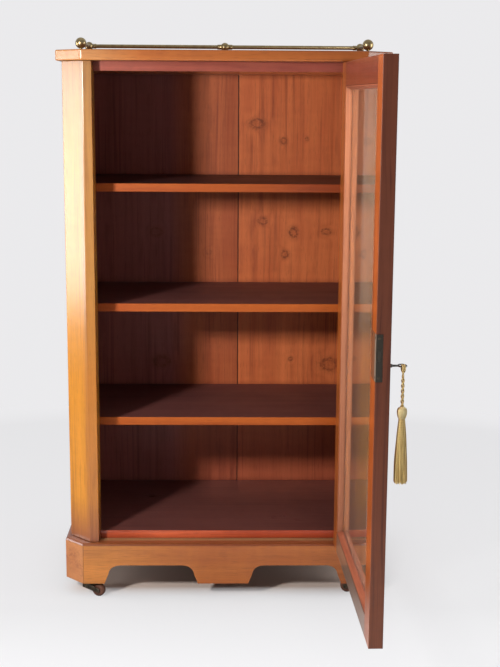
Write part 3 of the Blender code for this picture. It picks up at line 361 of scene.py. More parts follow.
def metal(name, bright, tarnish, roughness, age=0.5, grain_scale=90, metallic=1.0, marks=()):
    """Aged metal: brighter where it is rubbed, browner in its spots; its marks lie in the door's frame."""
    material, bench, shader = new_material(name)
    place = bench.place()
    specks = bench.noise(place, (grain_scale * 9,) * 3, 2)
    dull = bench.noise(place, (grain_scale,) * 3, 4, 0.6).spread(0.35, 0.65, 0.0, age)
    dull = bench.sum("ADD", dull, specks.spread(0.58, 0.7, 0.0, 0.35), clamp=True)
    soft, rubbed = bench.arrises(0.0006, 0.99, 0.9, 0.8)
    dull = bench.sum("SUBTRACT", dull, rubbed, clamp=True)
    tone = bench.blend(dull, colour(bright), colour(tarnish))
    bench.feed(shader, {
        "Base Color": stained_or_lit(bench, bench.within(place, DOOR), tone, marks, dull),
        "Roughness": dull.spread(0.0, 1.0, roughness, roughness + 0.22),
        "Normal": bench.bump(0.08, 0.0002, specks, Normal=soft),
        "Metallic": metallic,
    })
    return material


def clear_glass(name, tint):
    """Old drawn window glass, hardly tinted and not quite flat, that lets the lamps' light through."""
    material, bench, shader = new_material(name)
    bench.feed(shader, {
        "Normal": bench.bump(0.25, 0.0012, bench.noise(bench.place(), (9, 9, 1.6), 2)),
        "Base Color": colour(tint),
        "Transmission Weight": 1.0,
        "Roughness": 0.02,
        "IOR": 1.5,
        "Sheen Weight": 0.15,
        "Sheen Tint": (1.0, 0.84, 0.70, 1.0),
        "Sheen Roughness": 0.45,
    })
    clear = bench.out("ShaderNodeBsdfTransparent", {"Color": colour(dimmed(tint, GLASS_SHADOW))})
    bench.surface(bench.rays("Shadow")[0], shader, clear)
    return material


def yarn(name, light, dark, threads=5.0, pitch=420.0):
    """Lustrous thread whose filaments twist round it, by its own length and girth."""
    material, bench, shader = new_material(name)
    along, girth, strand = (bench.out("ShaderNodeAttribute", output="Fac", attribute_name=key)
                            for key in ("along", "girth", "strand"))
    ridge = bench.sum("SINE", (along * pitch + girth * threads) * FULL_TURN).spread(-1.0, 1.0)
    place = bench.place()
    fuzz = bench.noise(place, (2600, 2600, 700), 2)
    clumps = bench.noise(place, (520, 520, 9), 2).spread(0.38, 0.60, 0.0, 0.45)
    shade = bench.sum("FRACT", strand * 0.618) * 0.25 + ridge * 0.25 + clumps
    shade = bench.sum("ADD", shade, fuzz * 0.25, clamp=True)
    bench.feed(shader, {
        "Base Color": bench.blend(shade, colour(dark), colour(light)),
        "Normal": bench.bump(0.5, 0.0002, ridge + fuzz),
        "Roughness": 0.5,
        "Sheen Weight": 0.3,
        "Sheen Roughness": 0.4,
    })
    return material


def finish(nodes, material):
    """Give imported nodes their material."""
    for name in nodes:
        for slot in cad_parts[name].material_slots:
            slot.material = material


def clad(nodes, tones, grain, seed, **options):
    """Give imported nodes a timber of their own, named after the first one."""
    finish(nodes, timber("wood_of_" + nodes[0], tones, grain, seed, **options))


def shown(name, data):
    """Put an object in the scene."""
    item = bpy.data.objects.new(name, data)
    bpy.context.scene.collection.objects.link(item)
    return item


def keep(mesh, name, body, replaces=(), smooth=True):
    """Show a finished mesh as a piece of the cabinet."""
    mesh.name = name
    if smooth:
        mesh.shade_smooth()
        mesh.set_sharp_from_angle(angle=math.radians(40))
    piece = shown(name, mesh)
    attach(piece, body)
    if replaces:
        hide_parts(*replaces)
    return piece


def grown(tree_name, mesh, values):
    """Run a node tree on a mesh and return the mesh that it makes."""
    tree = bpy.data.node_groups[tree_name]
    source = shown("source", mesh)
    modifier = source.modifiers.new("grow", "NODES")
    modifier.node_group = tree
    for item in tree.interface.items_tree:
        if item.item_type == "SOCKET" and item.in_out == "INPUT" and item.name in values:
            modifier[item.identifier] = values[item.name]
    bpy.context.view_layer.update()
    evaluated = source.evaluated_get(bpy.context.evaluated_depsgraph_get())
    result = bpy.data.meshes.new_from_object(evaluated)
    source.modifiers.remove(modifier)
    bpy.data.objects.remove(source)
    return result


def line_mesh(points):
    """Make a mesh of one line through the points."""
    mesh = bpy.data.meshes.new("line")
    mesh.from_pydata([tuple(point) for point in points], [(i, i + 1) for i in range(len(points) - 1)], [])
    return mesh


def joined_mesh(meshes, materials=None):
    """Join meshes, each in its place, into one."""
    bm = bmesh.new()
    for mesh in meshes:
        bm.from_mesh(mesh)
    result = bpy.data.meshes.new("joined")
    bm.to_mesh(result)
    bm.free()
    for material in materials or meshes[0].materials:
        result.materials.append(material)
    return result


def solid_mesh(bm, name, material):
    """Turn a bmesh into a mesh whose faces point outwards."""
    bmesh.ops.recalc_face_normals(bm, faces=bm.faces)
    mesh = bpy.data.meshes.new(name)
    bm.to_mesh(mesh)
    bm.free()
    mesh.materials.append(material)
    return mesh


def lathe(profile, material, sides=40):
    """Turn a profile of (radius, height) points round Z, and close it on the axis."""
    bm = bmesh.new()
    verts = [bm.verts.new((radius, 0, height)) for radius, height in profile]
    edges = [bm.edges.new(pair) for pair in zip(verts, verts[1:])]
    bmesh.ops.spin(bm, geom=verts + edges, cent=(0, 0, 0), axis=(0, 0, 1), angle=FULL_TURN, steps=sides,
                   use_merge=True)
    bmesh.ops.remove_doubles(bm, verts=bm.verts, dist=1e-6)
    return solid_mesh(bm, "turned", material)


def bevelled_bar(low, high, bevel, material):
    """Make a bar between two corners, with its arrises taken off."""
    bm = bmesh.new()
    bmesh.ops.create_cube(bm, size=1.0)
    size, middle = high - low, (high + low) / 2
    for vert in bm.verts:
        vert.co = Vector(part * span for part, span in zip(vert.co, size)) + middle
    bmesh.ops.bevel(bm, geom=bm.edges[:], offset=bevel, segments=1, affect="EDGES")
    return solid_mesh(bm, "bar", material)


def set_down(mesh, matrix):
    """Move a mesh to its place."""
    mesh.transform(matrix)
    return mesh


def facing(direction):
    """Return the turn that points Z in a direction."""
    return Vector((0, 0, 1)).rotation_difference(Vector(direction)).to_matrix().to_4x4()


def arc(centre_height, radius, start, end, steps):
    """Return profile points on a circle about a point of the axis, by angles from straight down."""
    points = []
    for step in range(steps + 1):
        angle = math.radians(start + (end - start) * step / steps)
        points.append((max(radius * math.sin(angle), 0.0), centre_height - radius * math.cos(angle)))
    return points


def both_ends(rings, first, last):
    """Return the profile of the rings at a bar's first end and, mirrored, at its last."""
    return [*((radius, first + z) for radius, z in rings),
            *((radius, last - z) for radius, z in reversed(rings))]


def new_growth(name, inputs):
    """Start a tree that turns a geometry into a piece of one material."""
    inputs = {"Geometry": "Geometry", **inputs, "Material": "Material"}
    return new_group(name, "GeometryNodeTree", inputs, {"Geometry": "Geometry"})


def end_growth(bench, given, result, geometry):
    """Make the tree's instances real and give them their material."""
    whole = bench.out("GeometryNodeRealizeInstances", {0: geometry})
    whole = bench.out("GeometryNodeSetMaterial", {0: whole, "Material": given["Material"]})
    bench.feed(result, {0: whole})


def build_screw_tree():
    """Slotted or plain heads on points, each turned by chance about the way it faces."""
    bench, given, result = new_growth("fastener_heads", {
        "Head Radius": "Float", "Head Height": "Float", "Slot Width": "Float", "Slotted": "Bool",
        "Seed": "Int"})
    radius, height = given["Head Radius"], given["Head Height"]
    dome = bench.add("GeometryNodeMeshBoolean", operation="UNION")
    for size in ({"Radius": radius, "Depth": height}, {"Radius": radius * 0.84, "Depth": height * 1.5}):
        disc = bench.out("GeometryNodeMeshCylinder", {"Vertices": HEAD_SIDES, **size})
        bench.feed(dome, {"Mesh 2": disc})
    dome = Signal(bench, dome.outputs[0])
    size = bench.joined(radius * 3.0, given["Slot Width"], height)
    groove = bench.out("GeometryNodeMeshCube", {"Size": size})
    lift = bench.joined(0.0, 0.0, height * 0.9)
    groove = bench.out("GeometryNodeTransform", {"Geometry": groove, "Translation": lift})
    cut = bench.out("GeometryNodeMeshBoolean", {0: dome, "Mesh 2": groove}, operation="DIFFERENCE")
    head = bench.out("GeometryNodeSwitch", {0: given["Slotted"], 1: dome, 2: cut})
    way = bench.out("GeometryNodeInputNamedAttribute", {"Name": "facing"}, data_type="FLOAT_VECTOR")
    turn = bench.out("FunctionNodeAlignRotationToVector", {"Vector": way}, axis="Z")
    chance = bench.out("FunctionNodeRandomValue", {2: 0.0, 3: math.pi, "Seed": given["Seed"]}, 1)
    spin = bench.out("FunctionNodeAxisAngleToRotation", {"Axis": (0, 0, 1), "Angle": chance})
    turn = bench.out("FunctionNodeRotateRotation", {0: turn, 1: spin}, rotation_space="LOCAL")
    feeds = {"Points": given["Geometry"], "Instance": head, "Rotation": turn}
    end_growth(bench, given, result, bench.out("GeometryNodeInstanceOnPoints", feeds))


def fasteners(places, radius, height, material, slotted=True, seed=1):
    """Return the mesh of a row of screw or nail heads, by each one's place and the way that it faces."""
    mesh = bpy.data.meshes.new("points")
    mesh.from_pydata([tuple(place) for place, way in places], [], [])
    attribute = mesh.attributes.new("facing", "FLOAT_VECTOR", "POINT")
    for item, (place, way) in zip(attribute.data, places):
        item.vector = way
    return grown("fastener_heads", mesh, {
        "Head Radius": radius, "Head Height": height, "Slot Width": radius * 0.34, "Slotted": slotted,
        "Seed": seed, "Material": material})


def copied_lines(bench, given, amount):
    """Resample the given line, copy it, number the copies and return them with their number."""
    line = bench.out("GeometryNodeMeshToCurve", {0: given["Geometry"]})
    line = bench.out("GeometryNodeResampleCurve", {"Curve": line, "Count": given["Steps"]})
    copies = bench.add("GeometryNodeDuplicateElements", {0: line, "Amount": amount}, domain="SPLINE")
    number = Signal(bench, copies.outputs["Duplicate Index"])
    return bench.stored(Signal(bench, copies.outputs[0]), "strand", number), number


def tubes(bench, lines, move, sides, radius):
    """Move lines and make tubes of them, which know their own length and girth."""
    length = bench.out("GeometryNodeSplineParameter", output="Length")
    lines = bench.out("GeometryNodeSetPosition", {0: bench.stored(lines, "along", length), **move})
    ring = bench.out("GeometryNodeCurvePrimitiveCircle", {"Resolution": sides, "Radius": radius})
    ring = bench.stored(ring, "girth", bench.out("GeometryNodeSplineParameter", output="Factor"))
    return bench.out("GeometryNodeCurveToMesh", {"Curve": lines, "Profile Curve": ring, "Fill Caps": True})


def build_plied_tree():
    """Cord of plies laid round the line that it follows."""
    bench, given, result = new_growth("plied_cord", {
        "Diameter": "Float", "Plies": "Int", "Lay Length": "Float", "Steps": "Int"})
    lines, number = copied_lines(bench, given, given["Plies"])
    length = bench.out("GeometryNodeSplineParameter", output="Length")
    angle = (length / given["Lay Length"] + number / given["Plies"]) * FULL_TURN
    ply = given["Diameter"] * 0.232
    normal = bench.out("GeometryNodeInputNormal")
    side = bench.vector("CROSS_PRODUCT", bench.out("GeometryNodeInputTangent"), normal)
    push = bench.vector("ADD", bench.scaled(normal, bench.sum("COSINE", angle)),
                        bench.scaled(side, bench.sum("SINE", angle)))
    move = {"Offset": bench.scaled(push, given["Diameter"] * 0.5 - ply)}
    end_growth(bench, given, result, tubes(bench, lines, move, PLY_SIDES, ply))


def build_thread_tree():
    """Threads hung round an axis, each following the form's outline at its own share of the radius."""
    bench, given, result = new_growth("hung_threads", {
        "Count": "Int", "Thread Radius": "Float", "Twist": "Float", "Fill": "Float", "Wander": "Float",
        "Ragged": "Float", "Steps": "Int", "Seed": "Int"})
    lines, number = copied_lines(bench, given, given["Count"])
    radius, _, height = bench.split(bench.out("GeometryNodeInputPosition"))
    share = bench.out("GeometryNodeSplineParameter", output="Factor")
    fill = given["Fill"]
    rest = 1.0 - fill
    radius = radius * (bench.sum("SQRT", (number + 0.5) / given["Count"]) * fill + rest)
    golden = number * GOLDEN_ANGLE
    evenly = number / given["Count"] * FULL_TURN
    angle = golden * fill + evenly * rest + share * given["Twist"]
    chances = []
    for offset, low in ((0.0, -1.0), (7.0, -1.0), (13.0, 0.0)):
        feeds = {2: low, 3: 1.0, "ID": number, "Seed": given["Seed"] + offset}
        chances.append(bench.out("FunctionNodeRandomValue", feeds, 1))
    sway = share * given["Wander"]
    wave = bench.sum("SINE", share * 9.0 + chances[0] * 3.0) * 0.5
    x = bench.sum("COSINE", angle) * radius + (chances[0] + wave) * sway
    y = bench.sum("SINE", angle) * radius + (chances[1] - wave) * sway
    z = height + chances[2] * given["Ragged"] * share
    move = {"Position": bench.joined(x, y, z)}
    end_growth(bench, given, result, tubes(bench, lines, move, THREAD_SIDES, given["Thread Radius"]))


# The doubled cord: two runs twisted about each other, and two turns about the bow's near rim
CORD_DIAMETER = 0.0024
TWIST_LOW, TWIST_HIGH = -0.0637, -0.0165
TWIST_RADIUS, TWIST_PITCH = 0.00160, 0.0165
TURN_WIDTH, TURN_HEIGHT, TURN_MIDDLE = 0.0050, 0.0058, -0.0027
TURN_SLANT, TURN_STEP = math.radians(14), math.radians(30)
TURN_SLIDE = 0.0024
LEAD_SHARE, LEAD_LOW, LEAD_HIGH = 0.45, Vector((0, 0, -0.0082)), Vector((0, 0, -0.0040))
RUN_STEPS, TURN_STEPS, ROUTE_STEPS = 21, 18, 3


def twisted_run(side):
    """Return one run from the head up to the bow; side is 0 or 1."""
    points = []
    for step in range(RUN_STEPS + 1):
        height = TWIST_LOW + (TWIST_HIGH - TWIST_LOW) * step / RUN_STEPS
        angle = FULL_TURN * (height - TWIST_HIGH) / TWIST_PITCH + TURN_SLANT + math.pi * side
        points.append(Vector((TWIST_RADIUS * math.cos(angle), TWIST_RADIUS * math.sin(angle), height)))
    return points


def turn_point(step):
    """Return a point of the turns about the rim, which slide along it."""
    across = Vector((math.cos(TURN_SLANT), math.sin(TURN_SLANT), 0))
    along = Vector((-math.sin(TURN_SLANT), math.cos(TURN_SLANT), 0))
    angle = math.pi / 2 - step * TURN_STEP
    slide = TURN_SLIDE * (2 * step / TURN_STEPS - 1)
    height = Vector((0, 0, TURN_MIDDLE + TURN_HEIGHT * math.cos(angle)))
    return across * TURN_WIDTH * math.sin(angle) + along * slide + height


def cord_route():
    """Return the cord's middle line, on through the head and down into the skirt."""
    turns = [turn_point(step) for step in range(TURN_STEPS + 1)]
    lead, tail = ([end * LEAD_SHARE + LEAD_LOW, end + LEAD_HIGH] for end in (turns[0], turns[-1]))
    inside = [Vector((-0.0006, 0, -0.0720)), Vector((0, 0, -0.0850)), Vector((0, 0, -0.1100)),
              Vector((0, 0, -0.1350))]
    route = [*twisted_run(0), *lead, *turns, *reversed(tail), *reversed(twisted_run(1)), *inside]
    return smooth_route(route, ROUTE_STEPS)


def smooth_route(points, steps):
    """Return points along a smooth curve through the given ones."""
    padded = [points[0], *points, points[-1]]
    route = []
    for before, start, end, after in zip(padded, padded[1:], padded[2:], padded[3:]):
        for step in range(steps):
            share = step / steps
            route.append((
                2 * start + (end - before) * share
                + (2 * before - 5 * start + 4 * end - after) * share ** 2
                + (3 * start - before - 3 * end + after) * share ** 3
            ) / 2)
    return [*route, points[-1]]


def winding(radius, low, high, turns, per_turn=16):
    """Return a line that winds round Z from low to high."""
    total = turns * per_turn
    points = []
    for step in range(total + 1):
        angle = FULL_TURN * step / per_turn
        height = low + (high - low) * step / total
        points.append((radius * math.cos(angle), radius * math.sin(angle), height))
    return points


PROPERTIES = {
    "COLOR": (bpy.props.FloatVectorProperty, {"size": 3, "min": 0.0, "max": 1.0}),
    "DISTANCE": (bpy.props.FloatProperty, {"unit": "LENGTH", "min": 0.0}),
    "POWER": (bpy.props.FloatProperty, {"unit": "POWER", "min": 0.0}),
    "FACTOR": (bpy.props.FloatProperty, {"min": 0.0, "max": 1.0}),
}


def setting(subtype, name, description, default):
    """Return a property that a user can change in the panel."""
    make, options = PROPERTIES[subtype]
    return make(name=name, description=description, subtype=subtype, default=default, **options)


class WoodSettings(bpy.types.PropertyGroup):
    """Tones and polish of the cabinet's timbers."""

    birch_light: setting("COLOR", "Birch, light", "Light tone of the polished birch", (0.61, 0.190, 0.036))
    birch_dark: setting("COLOR", "Birch, dark", "Its dark tone", (0.40, 0.095, 0.018))
    post_light: setting("COLOR", "Posts, light", "Light tone of the corner posts", (0.57, 0.265, 0.062))
    post_dark: setting("COLOR", "Posts, dark", "Their dark tone", (0.42, 0.165, 0.036))
    plinth_light: setting("COLOR", "Plinth, light", "Light tone of the plinth", (0.57, 0.176, 0.036))
    plinth_dark: setting("COLOR", "Plinth, dark", "Its dark tone", (0.35, 0.084, 0.018))
    inner_light: setting("COLOR", "Inner birch, light", "Light tone of the birch inside", (0.56, 0.132, 0.018))
    inner_dark: setting("COLOR", "Inner birch, dark", "Its dark tone", (0.38, 0.070, 0.010))
    shade_tone: setting("COLOR", "Shaded birch", "Tone at the right of the upper shelf", (0.32, 0.054, 0.013))
    # The right board's lighter tone is partly its own and partly painted light, for the front lamp's light
    # across the back.
    left_board: setting("COLOR", "Left board", "Light tone of the left back board", (0.60, 0.155, 0.050))
    right_board: setting("COLOR", "Right board", "Light tone of the right back board", (0.76, 0.200, 0.060))
    # Dust and painted shade: the shelf tops' tone is darker than their light alone makes them.
    shelf_top: setting("COLOR", "Shelf top", "Tone of the worn shelf tops", (0.195, 0.065, 0.056))
    side_inside: setting("COLOR", "Sides inside", "Tone of the sides' inner faces", (0.20, 0.058, 0.028))
    red_edge: setting("COLOR", "Bottom edge", "Tone of the bottom board's edge", (0.56, 0.085, 0.026))
    red_edge_dark: setting("COLOR", "Bottom edge, dark", "Its dark tone", (0.36, 0.045, 0.016))
    mauve_edge: setting("COLOR", "Top edge", "Tone of the edge under the top board", (0.44, 0.115, 0.070))
    mauve_edge_dark: setting("COLOR", "Top edge, dark", "Its dark tone", (0.30, 0.065, 0.040))
    rail_light: setting("COLOR", "Door rails, light", "Light tone of the door's rails", (0.30, 0.061, 0.024))
    rail_dark: setting("COLOR", "Door rails, dark", "Their dark tone", (0.21, 0.037, 0.014))
    door_inside: setting("COLOR", "Door inside", "Tone of the stiles' inner faces", (0.62, 0.138, 0.025))
    door_edge: setting("COLOR", "Door edge", "Tone of the grimed edge of the door", (0.200, 0.052, 0.023))
    grime: setting("COLOR", "Grime", "Tone of old wax and dust in the corners", (0.16, 0.048, 0.020))
    pine_light: setting("COLOR", "Raw pine, light", "Light tone of the unstained pine", (0.50, 0.27, 0.12))
    pine_dark: setting("COLOR", "Raw pine, dark", "Its dark tone", (0.32, 0.15, 0.06))
    polish: setting("FACTOR", "Polish", "Weight of the clear polish on the wood", 0.55)
    roughness: setting("FACTOR", "Roughness", "Roughness of the polished wood", 0.32)


class MetalSettings(bpy.types.PropertyGroup):
    """Tones of the brass, bronze and steel, and the size of their fasteners."""

    brass: setting("COLOR", "Brass", "Rubbed brass", (0.62, 0.47, 0.24))
    tarnish: setting("COLOR", "Tarnish", "Brown tarnish on the brass", (0.26, 0.17, 0.08))
    bronze: setting("COLOR", "Bronze", "Rubbed bronze of the lock and the castors", (0.16, 0.125, 0.090))
    bronze_dark: setting("COLOR", "Bronze, dark", "Dark skin of the bronze", (0.050, 0.040, 0.030))
    steel: setting("COLOR", "Steel", "Dark steel of the key", (0.24, 0.25, 0.25))
    screw_radius: setting("DISTANCE", "Screw head radius", "Radius of the hinges' screw heads", 0.0026)


class TasselSettings(bpy.types.PropertyGroup):
    """Sizes and tones of the tassel."""

    gold_light: setting("COLOR", "Gold, light", "Light tone of the gold thread", (1.0, 0.77, 0.32))
    gold_dark: setting("COLOR", "Gold, dark", "Its dark tone", (0.50, 0.29, 0.065))
    pale_gold: setting("COLOR", "Pale gold", "Light tone of the head", (1.0, 0.86, 0.46))
    pale_gold_dark: setting("COLOR", "Pale gold, dark", "Its dark tone", (0.86, 0.60, 0.26))
    threads: bpy.props.IntProperty(name="Threads", description="Number of threads in the skirt", default=250,
                                   min=40, max=600)
    thread_radius: setting("DISTANCE", "Thread radius", "Radius of one thread of the skirt", 0.00042)


class StageSettings(bpy.types.PropertyGroup):
    """Floor, backdrop and lamps."""

    backdrop: setting("COLOR", "Backdrop", "Tone of the studio backdrop", (0.83, 0.825, 0.84))
    key_power: setting("POWER", "Front lamp", "Power of the small lamp in front", 20.0)
    side_power: setting("POWER", "Left lamp", "Power of the tall lamp at the left", 11.5)
    right_power: setting("POWER", "Right lamp", "Power of the broad lamp at the right", 20.0)
    ambience: setting("FACTOR", "Ambience", "Strength of the light from the room in front", 0.07)
    reflections: setting("FACTOR", "Reflections", "Strength of that room in the polish", 0.26)
    ceiling: setting("FACTOR", "Ceiling", "Strength of the light from above", 0.45)


class CABINET_OT_stage(bpy.types.Operator):
    """Set up the floor, the backdrop, the lamps and the camera"""

    bl_idname = "cabinet.stage"
    bl_label = "Stage"

    def execute(self, context):
        settings = context.scene.cabinet_stage
        context.scene.view_settings.view_transform = "Standard"
        context.scene.camera = self.camera()
        context.scene.world = self.backdrop(settings)
        self.floor(settings)
        self.lamps(settings)
        return {"FINISHED"}

    def camera(self):
        """Camera that sees what the photograph shows, 500 by 667 pixels."""
        data = bpy.data.cameras.new("camera")
        data.sensor_fit = "VERTICAL"
        data.sensor_height = 36.0
        data.lens = 67.525
        data.clip_start = 0.05
        data.clip_end = 60.0
        camera = shown("camera", data)
        pitch, yaw, roll = (math.radians(angle) for angle in (10.64, 1.074, 0.372))
        look = Vector((math.sin(yaw) * math.cos(pitch), math.cos(yaw) * math.cos(pitch), -math.sin(pitch)))
        right = Vector((math.cos(yaw), -math.sin(yaw), 0))
        turn = Matrix((right, right.cross(look), -look)).transposed().to_4x4()
        turn = turn @ Matrix.Rotation(roll, 4, "Z")
        camera.matrix_world = Matrix.Translation((0.0062, -2.30444, 0.9795)) @ turn
        return camera

    def backdrop(self, settings):
        """World that is a pale backdrop behind the cabinet and a dim room in front of it."""
        world = bpy.data.worlds.new("studio")
        world.use_nodes = True
        bench = Bench(world.node_tree)
        camera, through, glossy = bench.rays("Camera", "Transmission", "Glossy")
        seen = camera.most(through)
        _, ahead, up = bench.split(bench.out("ShaderNodeTexCoord", output="Generated"))
        front = bench.out("ShaderNodeMix", {0: glossy, 2: settings.ambience, 3: settings.reflections})
        room = ahead.spread(-0.15, 0.45, front, 0.50, "SMOOTHSTEP")
        room = room.most(up.spread(0.45, 0.95, 0.0, settings.ceiling, "SMOOTHSTEP"))
        bench.feed(world.node_tree.nodes["Background"], {
            "Color": bench.blend(seen, (0.93, 0.96, 1.0, 1.0), colour(settings.backdrop)),
            "Strength": bench.out("ShaderNodeMix", {0: seen, 2: room, 3: 1.0}),
        })
        return world

    def floor(self, settings):
        """White floor that keeps the shadow and runs into the backdrop."""
        reach = 14.0
        mesh = bpy.data.meshes.new("floor")
        mesh.from_pydata([(-reach, -reach, 0), (reach, -reach, 0), (reach, reach, 0), (-reach, reach, 0)], [],
                         [(0, 1, 2, 3)])
        floor = shown("floor", mesh)
        material, bench, shader = new_material("white_floor")
        mesh.materials.append(material)
        place = bench.place()
        depth = bench.split(place)[1]
        camera, through, diffuse, glossy = bench.rays("Camera", "Transmission", "Diffuse", "Glossy")
        outside = bench.vector("ABSOLUTE", bench.vector("SUBTRACT", place, (0.0, 0.24, 0.0)))
        outside = bench.vector("SUBTRACT", outside, (0.28, 0.13, 0.0))
        away = bench.vector("LENGTH", bench.vector("MAXIMUM", outside, (0.0, 0.0, 0.0)))
        mottle = bench.noise(place, (3, 3, 3), 3)
        tone = bench.blend(mottle, grey(0.78), (0.82, 0.82, 0.815, 1.0))
        # Painted bounce light: under the cabinet the floor takes a brown tint, for light thrown down from the
        # wood.
        tone = bench.blend(away.spread(0.05, 0.0), tone, (0.84, 0.69, 0.60, 1.0))
        tone = bench.blend(diffuse, tone, grey(0.50))
        mirrored = bench.blend(depth.spread(0.1, -0.3), grey(0.22), grey(0.95))
        bench.feed(shader, {
            "Base Color": bench.blend(glossy, tone, mirrored),
            "Roughness": 0.6,
            "Specular IOR Level": 0.2,
        })
        level = depth.spread(0.0, -0.5, 0.0, 0.24) * away.spread(2.4, 0.8) + 1.0
        glow = bench.out("ShaderNodeEmission", {"Color": colour(settings.backdrop), "Strength": level})
        shadow = bench.sum("EXPONENT", away * -24.0) * 0.88
        fade = (0.88 - shadow).most(away.spread(0.3, 1.3, 0.0, 1.0, "SMOOTHSTEP"))
        bench.surface(fade * camera.most(through), shader, glow)

    def lamps(self, settings):
        """Small lamp in front at the left, a tall one at the left side and a broad one at the right."""
        lamps = (
            ("front_lamp", (-0.86, -1.05, 1.00), (-0.1, 0.15, 0.55), (0.14, 0.14), settings.key_power),
            ("left_lamp", (-1.90, 0.27, 0.72), (-0.3, 0.10, 0.72), (0.40, 0.80), settings.side_power),
            ("right_lamp", (2.10, -0.05, 0.85), (0.3, 0.05, 0.60), (0.90, 1.30), settings.right_power),
        )
        for name, place, target, size, power in lamps:
            data = bpy.data.lights.new(name, "AREA")
            data.shape = "RECTANGLE"
            data.size, data.size_y = size
            data.energy = power
            lamp = shown(name, data)
            aim = (Vector(target) - Vector(place)).to_track_quat("-Z", "Y")
            lamp.matrix_world = Matrix.Translation(place) @ aim.to_matrix().to_4x4()


class CABINET_OT_tassel(bpy.types.Operator):
    """Lay up the cord, wind the head and hang the skirt of the key's tassel"""

    bl_idname = "cabinet.tassel"
    bl_label = "Tassel"

    TOP, HEIGHT = -0.0640, 0.0185
    BOTTOM = TOP - HEIGHT

    def execute(self, context):
        settings = context.scene.cabinet_tassel
        gold = yarn("gold_cord", settings.gold_light, settings.gold_dark)
        pale = yarn("gold_head", settings.pale_gold, settings.pale_gold_dark, threads=2.0, pitch=260.0)
        thread = yarn("gold_thread", settings.gold_light, settings.gold_dark, threads=2.0, pitch=260.0)
        route = cord_route()
        plies = {"Diameter": CORD_DIAMETER * 1.2, "Plies": 3, "Lay Length": 0.0058, "Steps": 620,
                 "Material": gold}
        cord = self.hung(grown("plied_cord", line_mesh(route), plies), "cord_plies", "cord")
        head = self.hung(self.head(pale, gold), "head_winding", "head")
        skirt = self.hung(self.skirt(settings, thread), "skirt_threads", "skirt")
        path = [TASSEL @ point for point in route]
        length = sum((end - start).length for start, end in zip(path, path[1:]))
        return {"FINISHED"}

    def hung(self, mesh, name, node):
        """Show a piece of the tassel in place of its node."""
        return keep(set_down(mesh, TASSEL), "tassel_" + name, "tassel", ("tassel_" + node,))

    def head(self, pale, gold):
        """Core wound with thread, with a collar of cord at its top and another round its neck."""
        steps = 12
        outline = [(0.0022, 0, self.TOP + 0.0006)]
        core = [(0.0, self.TOP)]
        for step in range(steps + 1):
            share = step / steps
            level = self.TOP - self.HEIGHT * share
            swell = max(math.sin(math.pi * share ** 0.62), 0.0) ** 0.62
            radius = 0.0030 + 0.0015 * share + 0.0041 * swell
            outline.append((radius, 0, level))
            core.append((radius - 0.0003, level))
        core.append((0.0, self.BOTTOM))
        wound = grown("hung_threads", line_mesh(outline), {
            "Count": 54, "Thread Radius": 0.00036, "Twist": 1.1, "Fill": 0.0, "Wander": 0.0, "Ragged": 0.0,
            "Steps": 26, "Seed": 3, "Material": pale})
        parts = [lathe(core, pale, 32), wound]
        rings = ((0.0050, self.BOTTOM + 0.0002, self.BOTTOM + 0.0040, 4, 300),
                 (0.0030, self.TOP - 0.0002, self.TOP + 0.0012, 2, 140))
        for radius, low, high, turns, points in rings:
            plies = {"Diameter": 0.0011, "Plies": 2, "Lay Length": 0.003, "Steps": points, "Material": gold}
            line = line_mesh(winding(radius, low, high, turns))
            parts.append(grown("plied_cord", line, plies))
        return joined_mesh(parts, [pale, gold])

    def skirt(self, settings, thread):
        """Threads that hang below the head and spread towards their ends."""
        length, steps = 0.1045, 16
        outline = []
        for step in range(steps + 1):
            share = step / steps
            radius = 0.0047 + 0.0056 * (1 - (1 - share) ** 2.2)
            outline.append((radius, 0, self.BOTTOM - 0.0001 - length * share))
        return grown("hung_threads", line_mesh(outline), {
            "Count": settings.threads, "Thread Radius": settings.thread_radius, "Twist": 0.25, "Fill": 1.0,
            "Wander": 0.0009, "Ragged": 0.005, "Steps": 14, "Seed": 5, "Material": thread})


